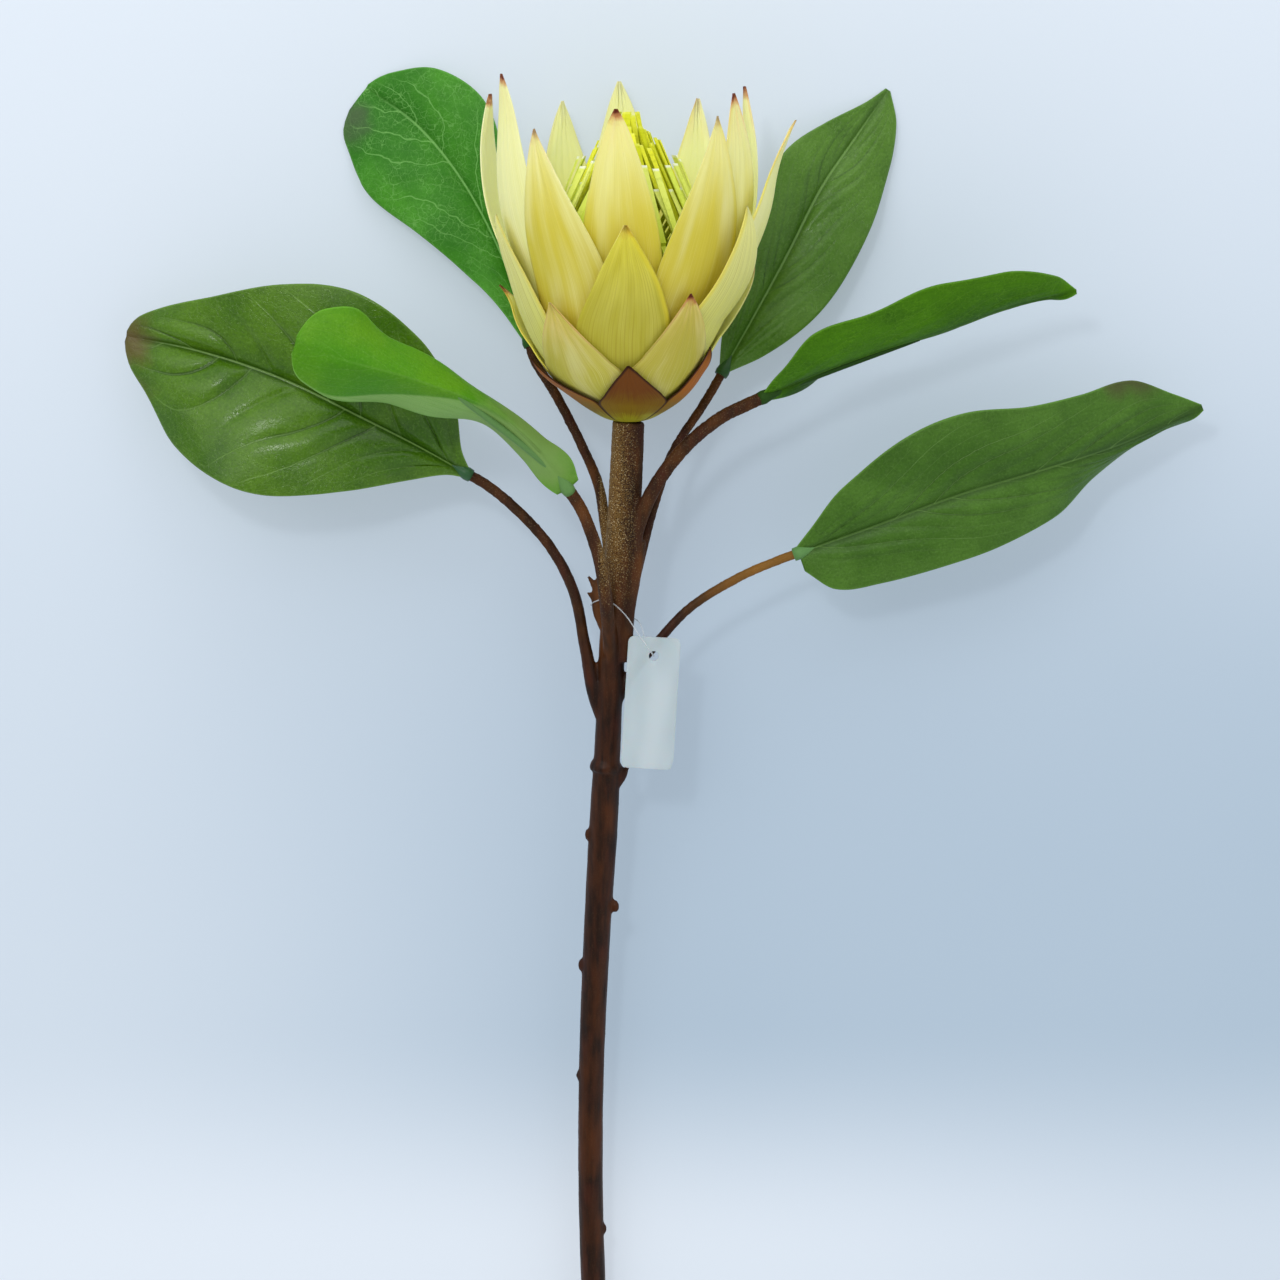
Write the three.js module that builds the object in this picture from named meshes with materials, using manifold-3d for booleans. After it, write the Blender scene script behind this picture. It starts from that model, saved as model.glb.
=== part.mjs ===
// An artificial protea stem that lies on its side: one cup-shaped bloom on a brown stem,
// with six leaves on bent twigs and a blank hang tag. Millimetres. +Y runs along the stem
// to the bloom, +Z is up, and the surface that the stem lies on is the plane z = 0.
import * as THREE from 'three';
import { mergeVertices } from 'three/addons/utils/BufferGeometryUtils.js';
import Module from 'manifold-3d';

const wasm = await Module();
wasm.setup();

// Driving dimensions
const clearance = 0.3;
const bladeThickness = 0.8;
const weldDistance = 1e-4;
const floorBlock = [1000, 1400, 400];

const stemSides = 10;
const stemSteps = 21;
const twigSides = 6;
const forkSteps = 5;
const knotSides = 6;
const knotRings = 4;
const knotStretch = 1.5;
const straightEnd = 4;
const splinterSides = 5;
const splinterRadii = [1.1, 0.25];

const bloomBase = [4.4, 382.6, 34.05];
const bloomTilt = 5;
const tierPitch = 1.4;
const pegRadius = 2.3;
const pegLength = 12;
const pegRoot = 6;
const pegSides = 12;
const pegHole = 2.8;
const spreadEnd = 0.3;
const swellStart = 0.35;
const tossStart = 0.75;
const narrowestShare = 0.03;
const cupBow = { side: -1.8, start: 5.5, full: 16, ease: 26, end: 50 };

const leafColumns = 3;
const leafRows = 10;
const sleeveRadius = 2.5;
const sleeveLength = 6;
const sleeveNeck = 1.7;
const ribRadius = 0.9;
const ribSteps = 6;
const ribDrop = 0.8;

const strandWidth = 2.2;
const strandDepth = 1.2;
const strandSection = [[0.5, -0.35], [0, 0.65], [-0.5, -0.35]];
const strandSwing = 0.3;
const strandUneven = 1.6;
const coreSides = 20;

const tagSize = [16.6, 42, 0.8];
const tagCentre = [11.4, 293.2, 33.6];
const tagTurn = -3.5;
const tagLean = 3;
const tagCorner = 2;
const tagHole = 1.5;
const tagHoleFromTop = 6;
const tagCurveSteps = 4;
const threadRadius = 0.35;
const threadSides = 5;
const threadSteps = 36;

const finishes = {
  bark: { color: 0x4a2e1e, roughness: 0.62, metalness: 0 },
  leaf: { color: 0x3f6d1f, roughness: 0.42, metalness: 0 },
  bract: { color: 0x6b4a16, roughness: 0.55, metalness: 0 },
  petal: { color: 0xd9d478, roughness: 0.6, metalness: 0 },
  strandPale: { color: 0xbfd07c, roughness: 0.6, metalness: 0 },
  strandOlive: { color: 0x9aa21e, roughness: 0.55, metalness: 0 },
  tag: { color: 0xd8e0e2, roughness: 0.35, metalness: 0 },
  thread: { color: 0xe4e8ea, roughness: 0.3, metalness: 0 },
};

const radians = THREE.MathUtils.degToRad;
const up = new THREE.Vector3(0, 0, 1);

// Shared shapes

function vector(list) {
  return new THREE.Vector3(list[0], list[1], list[2]);
}

// A value list of rows [key, value, value, ...] read at any key, smooth through its rows.
function valuesAt(rows, key) {
  const last = rows.length - 2;
  let i = rows.findIndex((row, n) => n > 0 && key <= row[0]) - 1;
  i = i < 0 ? last : i;
  const span = rows[i + 1][0] - rows[i][0];
  const t = THREE.MathUtils.clamp((key - rows[i][0]) / span, 0, 1);
  const slope = (n, c) => {
    const a = rows[Math.max(n - 1, 0)];
    const b = rows[Math.min(n + 1, rows.length - 1)];
    return ((b[c] - a[c]) / (b[0] - a[0])) * span;
  };
  return rows[i].slice(1).map((value, n) => {
    const c = n + 1;
    const next = rows[i + 1][c];
    const ease = t * t * (3 - 2 * t);
    const bend = t * (1 - t) * ((1 - t) * slope(i, c) - t * slope(i + 1, c));
    return value + (next - value) * ease + bend;
  });
}

function indexed(points, index) {
  const geometry = new THREE.BufferGeometry();
  const numbers = points.flatMap((p) => [p.x, p.y, p.z]);
  geometry.setAttribute('position', new THREE.Float32BufferAttribute(numbers, 3));
  geometry.setIndex(index);
  return geometry;
}

// Turns a closed geometry's faces over where they point in.
function facingOut(geometry) {
  const p = geometry.getAttribute('position');
  const index = geometry.getIndex().array;
  const corner = [new THREE.Vector3(), new THREE.Vector3(), new THREE.Vector3()];
  let volume = 0;
  for (let i = 0; i < index.length; i += 3) {
    corner.forEach((c, n) => c.fromBufferAttribute(p, index[i + n]));
    volume += corner[0].dot(corner[1].clone().cross(corner[2]));
  }
  if (volume < 0) {
    geometry.setIndex(Array.from(index).reverse());
  }
  return geometry;
}

function toSolid(geometry) {
  const bare = geometry.clone();
  bare.deleteAttribute('normal');
  bare.deleteAttribute('uv');
  const merged = facingOut(mergeVertices(bare, weldDistance));
  return new wasm.Manifold(new wasm.Mesh({
    numProp: 3,
    vertProperties: merged.getAttribute('position').array,
    triVerts: Uint32Array.from(merged.getIndex().array),
  }));
}

function fromSolid(solid) {
  const mesh = solid.getMesh();
  const geometry = new THREE.BufferGeometry();
  geometry.setAttribute('position', new THREE.Float32BufferAttribute(mesh.vertProperties, 3));
  geometry.setIndex(Array.from(mesh.triVerts));
  return geometry;
}

function joined(geometries) {
  return geometries.map(toSolid).reduce((whole, next) => whole.add(next));
}

// Closes a row of equal rings of points into one solid with a fan at each end.
function loft(rings) {
  const count = rings[0].length;
  const points = rings.flat();
  const index = [];
  for (let j = 0; j < rings.length - 1; j += 1) {
    for (let i = 0; i < count; i += 1) {
      const a = j * count + i;
      const b = j * count + ((i + 1) % count);
      index.push(a, b, b + count, a, b + count, a + count);
    }
  }
  const end = (rings.length - 1) * count;
  for (let i = 1; i < count - 1; i += 1) {
    index.push(0, i + 1, i, end, end + i, end + i + 1);
  }
  return facingOut(indexed(points, index));
}

// A tapered round limb through points [x, y, z, radius]; it never runs straight up.
function limb(stops, sides, steps) {
  const curve = new THREE.CatmullRomCurve3(stops.map(vector));
  const radii = stops.map((stop, n) => [n / (stops.length - 1), stop[3]]);
  const rings = [];
  for (let j = 0; j <= steps; j += 1) {
    const t = j / steps;
    const centre = curve.getPoint(t);
    const side = curve.getTangent(t).cross(up).normalize();
    const lift = side.clone().cross(curve.getTangent(t)).normalize();
    const radius = valuesAt(radii, t)[0];
    rings.push(Array.from({ length: sides }, (_, i) => {
      const angle = (i / sides) * Math.PI * 2;
      return centre.clone().addScaledVector(side, Math.cos(angle) * radius)
        .addScaledVector(lift, Math.sin(angle) * radius);
    }));
  }
  return loft(rings);
}

function knot([x, y, z, radius]) {
  return new THREE.SphereGeometry(radius, knotSides, knotRings).scale(1, knotStretch, 1)
    .translate(x, y, z);
}

// A closed sheet from a grid of points: both faces have the same diagonals.
function sheet(grid, thickness) {
  const rows = grid.length;
  const columns = grid[0].length;
  const within = THREE.MathUtils.clamp;
  const at = (j, i) => grid[within(j, 0, rows - 1)][within(i, 0, columns - 1)];
  const faces = [1, -1].map((sign) => grid.flatMap((row, j) => row.map((point, i) => {
    const along = at(j + 1, i).clone().sub(at(j - 1, i));
    const across = at(j, i + 1).clone().sub(at(j, i - 1));
    const normal = across.cross(along).normalize();
    return point.clone().addScaledVector(normal, (sign * thickness) / 2);
  })));
  const under = rows * columns;
  const index = [];
  for (let j = 0; j < rows - 1; j += 1) {
    for (let i = 0; i < columns - 1; i += 1) {
      const a = j * columns + i;
      const c = a + columns;
      index.push(a, a + 1, c + 1, a, c + 1, c);
      index.push(under + a, under + c + 1, under + a + 1, under + a, under + c, under + c + 1);
    }
  }
  const rim = [];
  for (let i = 0; i < columns; i += 1) rim.push(i);
  for (let j = 1; j < rows; j += 1) rim.push(j * columns + columns - 1);
  for (let i = columns - 2; i >= 0; i -= 1) rim.push((rows - 1) * columns + i);
  for (let j = rows - 2; j > 0; j -= 1) rim.push(j * columns);
  rim.forEach((a, n) => {
    const b = rim[(n + 1) % rim.length];
    index.push(b, a, under + a, b, under + a, under + b);
  });
  return facingOut(indexed(faces.flat(), index));
}

// Leaves. Each rib runs from the twig's end to the leaf's tip. A row of a blade gives how
// far along the rib it is, then the left and the right half's width and lift in degrees.
const leaves = {
  leaf_back_left: {
    rib: [[-27.3, 406.8, 16.4], [-35, 431.5, 11.2], [-47.9, 456.8, 7.2], [-62.8, 475.2, 3.6],
      [-79.5, 487.6, 0.2]],
    blade: [[0, 1.4, 10, 1.4, 10], [0.1, 5, 8, 3.4, 25], [0.28, 12.6, 4, 8, 24],
      [0.5, 21.4, 2, 14.4, 18], [0.7, 26.4, 1, 21.2, 10], [0.85, 24.4, 0, 18, 6],
      [0.95, 19, 0, 9, 3], [1, 13.5, 0, 1.5, 2]],
  },
  leaf_left: {
    rib: [[-46.9, 365.4, 25], [-61.6, 373.8, 27.2], [-80.5, 383.5, 28], [-105, 395.4, 26.5],
      [-131, 403.9, 21.5], [-155.4, 408.7, 14.4]],
    blade: [[0, 1.4, 10, 1.6, 10], [0.05, 3.8, 14, 6.5, 12], [0.13, 11, 16, 19.5, 14],
      [0.27, 24, 16, 32, 16], [0.45, 36.2, 14, 36.5, 16], [0.62, 37.6, 12, 29, 14],
      [0.8, 29.5, 10, 17, 10], [0.93, 14.5, 6, 9.2, 6], [1, 1, 0, 1, 0]],
  },
  leaf_front_left: {
    rib: [[-14.8, 361.6, 42.9], [-23, 373.2, 50.5], [-37.5, 386.6, 62], [-60.5, 396.6, 75],
      [-82, 402.9, 83], [-96.9, 407.4, 84]],
    blade: [[0, 3.6, -10, 4.4, -10], [0.07, 7.6, -40, 6.4, -16], [0.16, 8.6, -52, 5.6, -50],
      [0.3, 12.5, -60, 7.5, -72], [0.5, 17, -56, 12.5, -62], [0.7, 18, -52, 15, -50],
      [0.85, 16.5, -42, 17, -22], [0.95, 11.5, -30, 13, -12], [1, 3.5, -20, 4, -10]],
  },
  leaf_back_right: {
    rib: [[34.3, 397.7, 21.1], [43.6, 414, 17], [54.5, 433.8, 11.6], [66, 456, 6.8],
      [77, 472, 3.2], [87.3, 486.9, 0.2]],
    blade: [[0, 1.4, 10, 1.4, 10], [0.1, 6.5, 14, 8.8, 4], [0.27, 12.5, 18, 17.2, 4],
      [0.45, 14.5, 20, 20, 4], [0.64, 16.8, 16, 19.6, 3], [0.8, 11, 12, 14.8, 2],
      [0.93, 3.6, 6, 8.2, 1], [1, 0.8, 0, 0.8, 0]],
  },
  leaf_upper_right: {
    rib: [[46.9, 390.1, 38], [61, 396.4, 37.5], [82.6, 404.4, 37], [104.4, 411.2, 37],
      [124, 418.2, 36.5], [145.1, 423, 33]],
    blade: [[0, 1.4, 40, 1.4, -40], [0.08, 9.4, 52, 5.2, -56], [0.2, 19.5, 52, 10.5, -80],
      [0.4, 21.5, 52, 15, -84], [0.6, 23, 50, 16, -84], [0.78, 19.5, 50, 12.5, -82],
      [0.92, 10.8, 44, 6, -76], [1, 0.9, 0, 0.9, 0]],
  },
  leaf_lower_right: {
    rib: [[58.2, 340.4, 28.6], [82.9, 349.4, 31], [108.9, 359.2, 33.2], [134.9, 366.9, 32],
      [160.6, 375.1, 27.6], [186.4, 386.2, 21.4]],
    blade: [[0, 2, 10, 6, 0], [0.05, 6.8, 18, 14.6, -4], [0.15, 16.4, 22, 18, -6],
      [0.3, 24.4, 22, 20, -8], [0.45, 26, 20, 20, -10], [0.6, 22, 18, 16.4, -18],
      [0.72, 20, 16, 12, -54], [0.85, 17.8, 10, 8, -72], [0.95, 10, 4, 4, -60],
      [1, 0.9, 0, 0.9, 0]],
  },
};

function leafGrid({ rib, blade }) {
  const curve = new THREE.CatmullRomCurve3(rib.map(vector));
  const grid = [];
  for (let j = 0; j <= leafRows; j += 1) {
    const t = j / leafRows;
    const centre = curve.getPointAt(t);
    const side = curve.getTangentAt(t).cross(up).setZ(0).normalize();
    const lift = side.clone().cross(curve.getTangentAt(t)).normalize();
    const [left, leftLift, right, rightLift] = valuesAt(blade, t);
    const row = [];
    for (let i = -leafColumns; i <= leafColumns; i += 1) {
      const width = (Math.abs(i) / leafColumns) * (i < 0 ? left : right);
      const angle = radians(i < 0 ? leftLift : rightLift);
      row.push(centre.clone()
        .addScaledVector(side, Math.sign(i) * width * Math.cos(angle))
        .addScaledVector(lift, width * Math.sin(angle)));
    }
    grid.push(row);
  }
  return grid;
}

// The sleeve that the leaf is pushed onto the twig with, drawn out into the leaf's rib.
function leafSleeve({ rib }) {
  const curve = new THREE.CatmullRomCurve3(rib.map(vector));
  const length = curve.getLength();
  const start = curve.getPoint(0);
  const out = curve.getTangent(0);
  const stops = [[-sleeveLength / 2, sleeveRadius], [0, sleeveRadius], [sleeveLength, sleeveNeck],
    [length / 2, ribRadius]];
  return limb(stops.map(([along, radius]) => {
    const before = start.clone().addScaledVector(out, along);
    const point = along < 0 ? before : curve.getPointAt(along / length);
    const below = along > 0 ? radius * ribDrop : 0;
    return [point.x, point.y, point.z - below, radius];
  }), twigSides, ribSteps);
}

// Stem, twigs and what is moulded onto them, as rows [x, y, z, radius]
const stemLine = [[0.8, -28, 3.75, 3.95], [-0.5, 7.6, 3.75, 4], [-3.1, 45.1, 6.6, 4],
  [-5.7, 75.7, 9.1, 4], [-7.4, 109.3, 11.8, 4], [-8, 142.8, 14.6, 4], [-7.5, 178, 17.6, 4.1],
  [-5.8, 217, 20.8, 4.3], [-3.6, 254, 24, 4.6], [-2.3, 279, 26, 4.2], [-1.1, 306, 28.2, 4.2],
  [1.2, 331, 30, 4.8], [3.3, 359, 32.2, 5.2], [4.4, 382.3, 34.05, 5.05]];
const twigs = {
  leaf_back_left: [[-0.9, 331, 29.3, 1.6], [-2.8, 347.7, 27.6, 1.8], [-5.3, 362, 24.4, 1.7],
    [-10.3, 373.7, 21, 1.6], [-18.7, 390, 18.2, 1.6]],
  leaf_left: [[-2.4, 284, 26.6, 2.4], [-6.4, 296, 27.8, 2.5], [-9.6, 312, 29.2, 1.9],
    [-13.2, 328.8, 30, 1.8], [-21, 343.2, 29.2, 1.7], [-33.5, 356.3, 27.4, 1.7]],
  leaf_front_left: [[-0.8, 304, 29.5, 2.3], [-1.6, 314.6, 34, 2.3], [-2.8, 326.8, 40, 2.2],
    [-4.4, 338, 41.8, 2.1], [-8.6, 351, 42.2, 2]],
  leaf_back_right: [[4.6, 326, 30.2, 2], [8.1, 340, 29, 1.9], [12.4, 355.4, 27.8, 1.6],
    [18.5, 372.3, 25.6, 1.5], [28, 387, 23, 1.5]],
  leaf_upper_right: [[4.4, 334, 32.6, 2.6], [6.2, 345.9, 34.6, 2.6], [11.8, 360.2, 36.4, 2.3],
    [21.2, 373.4, 37.4, 2.2], [33, 383.4, 38, 2.1]],
  leaf_lower_right: [[-0.9, 289.7, 27.2, 1.9], [4.4, 300.4, 28.2, 1.8], [12.8, 311.3, 29.3, 1.6],
    [23.8, 323.1, 30, 1.5], [39.6, 332.9, 29.6, 1.5]],
};
const rightFork = [[3.2, 306, 30, 2.4], [3.8, 322, 31.2, 2.7], [6, 337, 32.3, 3], [7.6, 345, 33, 2.4]];
const knots = [[-8.6, 250, 24.6, 1.5], [0.2, 226.6, 22.6, 1.6], [-10.8, 207.4, 20, 1.6],
  [-3.4, 200.6, 19.4, 1.4], [-4.2, 186.4, 18.2, 1.3], [-11.6, 171, 17.2, 1.4],
  [-3.6, 120, 13.4, 1.3], [-9.2, 82, 9.6, 1.3], [3, 30, 5.6, 1.3]];
const collar = {
  centre: [-2.9, 272, 25.5],
  radius: 5.1,
  length: 3.4,
  outline: [[0, -0.5], [0.9, -0.5], [1, -0.25], [1, 0.25], [0.92, 0.5], [0, 0.5]],
};
const barkScale = [[-0.2, 266, 25.6, 1.9], [2.6, 269.6, 25.8, 1.5], [4.6, 272.6, 26, 0.3]];
const brokenTwig = {
  stub: [[-3.2, 319, 30, 1.7], [-4.6, 326, 31, 2], [-5.6, 331, 31.4, 1.5]],
  splinters: [[-5.4, 335.4, 32], [-8, 332.6, 31.2], [-7.9, 328, 31]],
};

// A twig ends in line with its leaf's sleeve, just short of it.
function twig(name) {
  const rib = new THREE.CatmullRomCurve3(leaves[name].rib.map(vector));
  const radius = twigs[name][twigs[name].length - 1][3];
  const run = [straightEnd, 0].map((back) => {
    const reach = back + sleeveLength / 2 + clearance;
    const point = rib.getPoint(0).addScaledVector(rib.getTangent(0), -reach);
    return [point.x, point.y, point.z, radius];
  });
  const line = [...twigs[name], ...run];
  return limb(line, twigSides, line.length * 2 - 3);
}

function stemParts() {
  const parts = [limb(stemLine, stemSides, stemSteps), limb(rightFork, twigSides, forkSteps)];
  Object.keys(twigs).forEach((name) => parts.push(twig(name)));
  knots.forEach((row) => parts.push(knot(row)));
  const outline = collar.outline.map(([r, h]) => [r * collar.radius, h * collar.length]);
  const ring = new THREE.LatheGeometry(outline.map(([r, h]) => new THREE.Vector2(r, h)), stemSides);
  parts.push(ring.translate(...collar.centre));
  parts.push(limb(barkScale, twigSides, barkScale.length));
  parts.push(limb(brokenTwig.stub, twigSides, brokenTwig.stub.length));
  const [thick, thin] = splinterRadii;
  const [x, y, z] = brokenTwig.stub[1];
  brokenTwig.splinters.forEach((tip) => {
    parts.push(limb([[x, y, z, thick], [...tip, thin]], splinterSides, 1));
  });
  const peg = new THREE.CylinderGeometry(pegRadius, pegRadius, pegLength + pegRoot, pegSides);
  peg.translate(0, (pegLength - pegRoot) / 2, 0);
  parts.push(peg.applyMatrix4(bloomPlace));
  return parts;
}

// The bloom's own frame: Y runs up its axis from the stem's end, Z faces up off the table.
const bloomPlace = new THREE.Matrix4().makeRotationX(radians(bloomTilt))
  .setPosition(...bloomBase);

// Outer outline of the whole cup: radius and height above the stem's end.
const cup = new THREE.SplineCurve([[2.8, 0], [5, 0.1], [9.4, 1.8], [17.2, 7], [25.2, 15],
  [33.5, 29.3], [40.2, 48.5], [44.2, 66], [44.9, 84], [43.2, 101], [41.5, 116]]
  .map(([r, h]) => new THREE.Vector2(r, h)));

// Each whorl: how many layers in from the outside, where its petals part, the outline of one
// petal from there to its tip as a share of its half width, and a row for each petal:
// azimuth, tip height, half width, turn of the tip in degrees, how far its belly swells out,
// how far its tip is thrown out beyond that, and, where it isn't 1, how much it narrows.
const slender = [[0, 1], [0.2, 1.02], [0.42, 1.04], [0.55, 0.98], [0.67, 0.83], [0.78, 0.62],
  [0.87, 0.42], [0.94, 0.24], [1, 0.04]];
const broad = [[0, 1], [0.22, 1.02], [0.41, 0.99], [0.55, 0.83], [0.7, 0.61], [0.85, 0.33], [1, 0.04]];
const wedge = [[0, 1], [0.3, 0.84], [0.6, 0.53], [0.85, 0.22], [1, 0.04]];
const whorls = {
  bracts: {
    layer: 0, parting: 6, outline: wedge, finish: 'bract', rings: 3, rows: 4, columns: 4,
    petals: [[7.5, 20.4, 11.6, -4, 0, 0], [78, 24.6, 11.6, -17, 0, 0], [146, 22, 11.6, 0, 0, 0],
      [216, 20, 11.6, 0, 0, 0], [287, 20.2, 12.6, -4, 0.6, 0]],
  },
  petals_lower: {
    layer: 1, parting: 14, outline: wedge, finish: 'petal', rings: 4, rows: 5, columns: 4,
    petals: [[38.5, 42.8, 15, -8, 1.2, 0.4], [105, 48, 15, -4, 3, -1.2], [180, 46, 15, 0, 0, 0],
      [252, 41, 15, 2, 2.2, 3.2], [326, 39.5, 15, -6, 0, 0.4]],
  },
  petals_middle: {
    layer: 2, parting: 13, outline: broad, finish: 'petal', rings: 4, rows: 7, columns: 4,
    petals: [[0, 64.6, 14.8, -1, 1, 0], [62.4, 69.4, 13.8, -12, 5.6, 0], [144, 66, 14.2, 0, 0, 0],
      [212, 69, 14.4, 0, 0, 0], [289.5, 65.4, 14.6, -2.5, 1.8, 0, 0.85]],
  },
  petals_outer: {
    layer: 3, parting: 12, outline: slender, finish: 'petal', rings: 4, rows: 9, columns: 6,
    petals: [[34.6, 98, 13.6, 5.6, 3, 0, 1.2], [74, 95, 15.6, 8, 6, 6.8, 1.05],
      [180, 104.4, 13, 4.5, 0, 0.5], [257, 102, 13, -2, 6, 0, 0.75],
      [332, 94, 13.4, -15, 2.4, 0, 1.15]],
  },
  petals_inner: {
    layer: 4, parting: 12, outline: slender, finish: 'petal', rings: 4, rows: 9, columns: 4,
    petals: [[-2.5, 100.6, 12.4, -3, 1, 0, 0.9], [56, 104.4, 12.6, -1.5, 2.4, 0],
      [109, 104.4, 11.4, 1, 1.4, 0], [152, 99.6, 11, -7, 0.4, 0], [208, 98.8, 12, 5.5, 0.4, 0],
      [301.5, 110, 13.8, -8.5, 3.2, 2.8, 0.85]],
  },
};

function cupAtHeight(height) {
  let low = 0;
  let high = 1;
  for (let n = 0; n < 30; n += 1) {
    const middle = (low + high) / 2;
    if (cup.getPointAt(middle).y < height) low = middle;
    else high = middle;
  }
  return (low + high) / 2;
}

// A point on the cup's outline moved in by a depth, then thrown out by a flare.
function cupPoint(along, depth, flare) {
  const point = cup.getPointAt(along);
  const tangent = cup.getTangentAt(along);
  return [Math.max(point.x - tangent.y * depth, pegHole) + flare, point.y + tangent.x * depth];
}

// Shares of a petal's swell and toss, from where it parts (0) to its tip (1)
const past = (risen, start) => Math.max((risen - start) / (1 - start), 0);
const swellShare = (risen) => 1 - (1 - past(risen, swellStart)) ** 2;
const tossShare = (risen) => past(risen, tossStart) ** 2;

// How far the lower half of the cup leans to one side, at a height.
function bowAt(height) {
  const rise = THREE.MathUtils.smoothstep(height, cupBow.start, cupBow.full);
  const fall = THREE.MathUtils.smoothstep(height, cupBow.ease, cupBow.end);
  return cupBow.side * rise * (1 - fall);
}

// One whorl is a closed cup near the stem and parts into petals above it.
function whorl({ layer, parting, outline, rings, rows, columns, petals }) {
  const count = petals.length;
  const middle = petals.map((petal, n) => {
    const next = n + 1 < count ? petals[n + 1][0] : petals[0][0] + 360;
    return (petal[0] + next) / 2;
  });
  const shared = cupAtHeight(parting);
  const points = [];
  const named = new Map();
  const index = [];
  const place = (key, radius, height, azimuth) => {
    if (!named.has(key)) {
      named.set(key, points.length);
      const x = radius * Math.sin(azimuth) + bowAt(height);
      points.push(new THREE.Vector3(x, height, radius * Math.cos(azimuth)));
    }
    return named.get(key);
  };
  petals.forEach(([azimuth, tip, halfWidth, turn, swell, toss, narrowing = 1], n) => {
    const left = n > 0 ? middle[n - 1] : middle[count - 1] - 360;
    const right = middle[n];
    const end = cupAtHeight(tip);
    const grid = [];
    for (let j = 0; j <= rings + rows; j += 1) {
      const risen = Math.max(j - rings, 0) / rows;
      const along = j <= rings ? shared * (j / rings) : shared + (end - shared) * risen;
      const thrown = swell * swellShare(risen) + toss * tossShare(risen);
      const row = [];
      for (let i = 0; i <= columns; i += 1) {
        const s = (i / columns) * 2 - 1;
        const base = radians(azimuth + s * (s < 0 ? azimuth - left : right - azimuth));
        const pair = [0, bladeThickness].map((inset, face) => {
          const [radius, height] = cupPoint(along, layer * tierPitch + inset, thrown);
          const share = Math.max(valuesAt(outline, risen)[0] ** narrowing, narrowestShare);
          const open = radians(azimuth + turn * risen ** 2) + (halfWidth * share * s) / radius;
          const blend = THREE.MathUtils.smoothstep(risen, 0, spreadEnd);
          const angle = base + (open - base) * blend;
          const inRing = j <= rings && (i === 0 || i === columns);
          const edge = i === 0 ? (n + count - 1) % count : n;
          const key = inRing ? `seam ${edge} ${j} ${face}` : `${n} ${j} ${i} ${face}`;
          return place(key, radius, height, angle);
        });
        row.push(pair);
      }
      grid.push(row);
    }
    const quad = (a, b, c, d) => index.push(a, b, c, a, c, d);
    for (let j = 0; j < rings + rows; j += 1) {
      for (let i = 0; i < columns; i += 1) {
        quad(grid[j][i][0], grid[j][i + 1][0], grid[j + 1][i + 1][0], grid[j + 1][i][0]);
        const inner = [grid[j][i][1], grid[j + 1][i][1], grid[j + 1][i + 1][1], grid[j][i + 1][1]];
        index.push(inner[0], inner[2], inner[3], inner[0], inner[1], inner[2]);
      }
      if (j >= rings) {
        [[0, 1], [columns, -1]].forEach(([i, way]) => {
          const wall = [grid[j][i][0], grid[j + 1][i][0], grid[j + 1][i][1], grid[j][i][1]];
          quad(...(way > 0 ? wall : wall.reverse()));
        });
      }
    }
    for (let i = 0; i < columns; i += 1) {
      const top = grid[rings + rows];
      quad(top[i][0], top[i + 1][0], top[i + 1][1], top[i][1]);
      quad(grid[0][i][0], grid[0][i][1], grid[0][i + 1][1], grid[0][i + 1][0]);
    }
  });
  return facingOut(indexed(points, index)).applyMatrix4(bloomPlace);
}

// The centre of the bloom: strands that spread out of a core in rings and from their knee lean
// straight towards the axis. A ring gives its count, half-step turn, and radius and height at
// root, knee and tip.
const strandCentres = {
  stamens_outer: {
    finish: 'strandPale',
    core: [[9.4, 11.4], [11, 13.2], [12.8, 24], [14.8, 38], [12.6, 42], [9.4, 42]],
    rings: [
      { count: 22, turn: 0, line: [[12.4, 33], [27, 52], [16.5, 76]] },
      { count: 18, turn: 0.5, line: [[11.6, 37], [25.4, 58], [15.6, 83]] },
    ],
  },
  stamens_inner: {
    finish: 'strandOlive',
    core: [[0, 12.4], [pegHole, 12.4], [pegHole, 7.4], [5, 7.4], [8.8, 10.4], [8.8, 43],
      [10.4, 52], [7, 62], [0, 65]],
    rings: [
      { count: 20, turn: 0, line: [[8.4, 46], [21.4, 60], [9, 89]] },
      { count: 14, turn: 0.5, line: [[7, 53], [15, 66], [5.6, 93]] },
      { count: 8, turn: 0, line: [[3.6, 58], [7.6, 73], [3, 97]] },
    ],
  },
};

function strand(line, azimuth, swing) {
  const centres = line.map(([r, h]) => new THREE.Vector3(r, h, 0));
  const last = centres.length - 1;
  const rings = centres.map((centre, j) => {
    const tangent = centres[Math.min(j + 1, last)].clone().sub(centres[Math.max(j - 1, 0)]).normalize();
    const outward = new THREE.Vector3(tangent.y, -tangent.x, 0);
    const turned = azimuth + (j === last ? swing : 0);
    return strandSection.map(([across, out]) => {
      const point = centre.clone().addScaledVector(outward, out * strandDepth);
      point.z += across * strandWidth;
      return point.applyAxisAngle(new THREE.Vector3(0, 1, 0), turned);
    });
  });
  return loft(rings);
}

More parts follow.
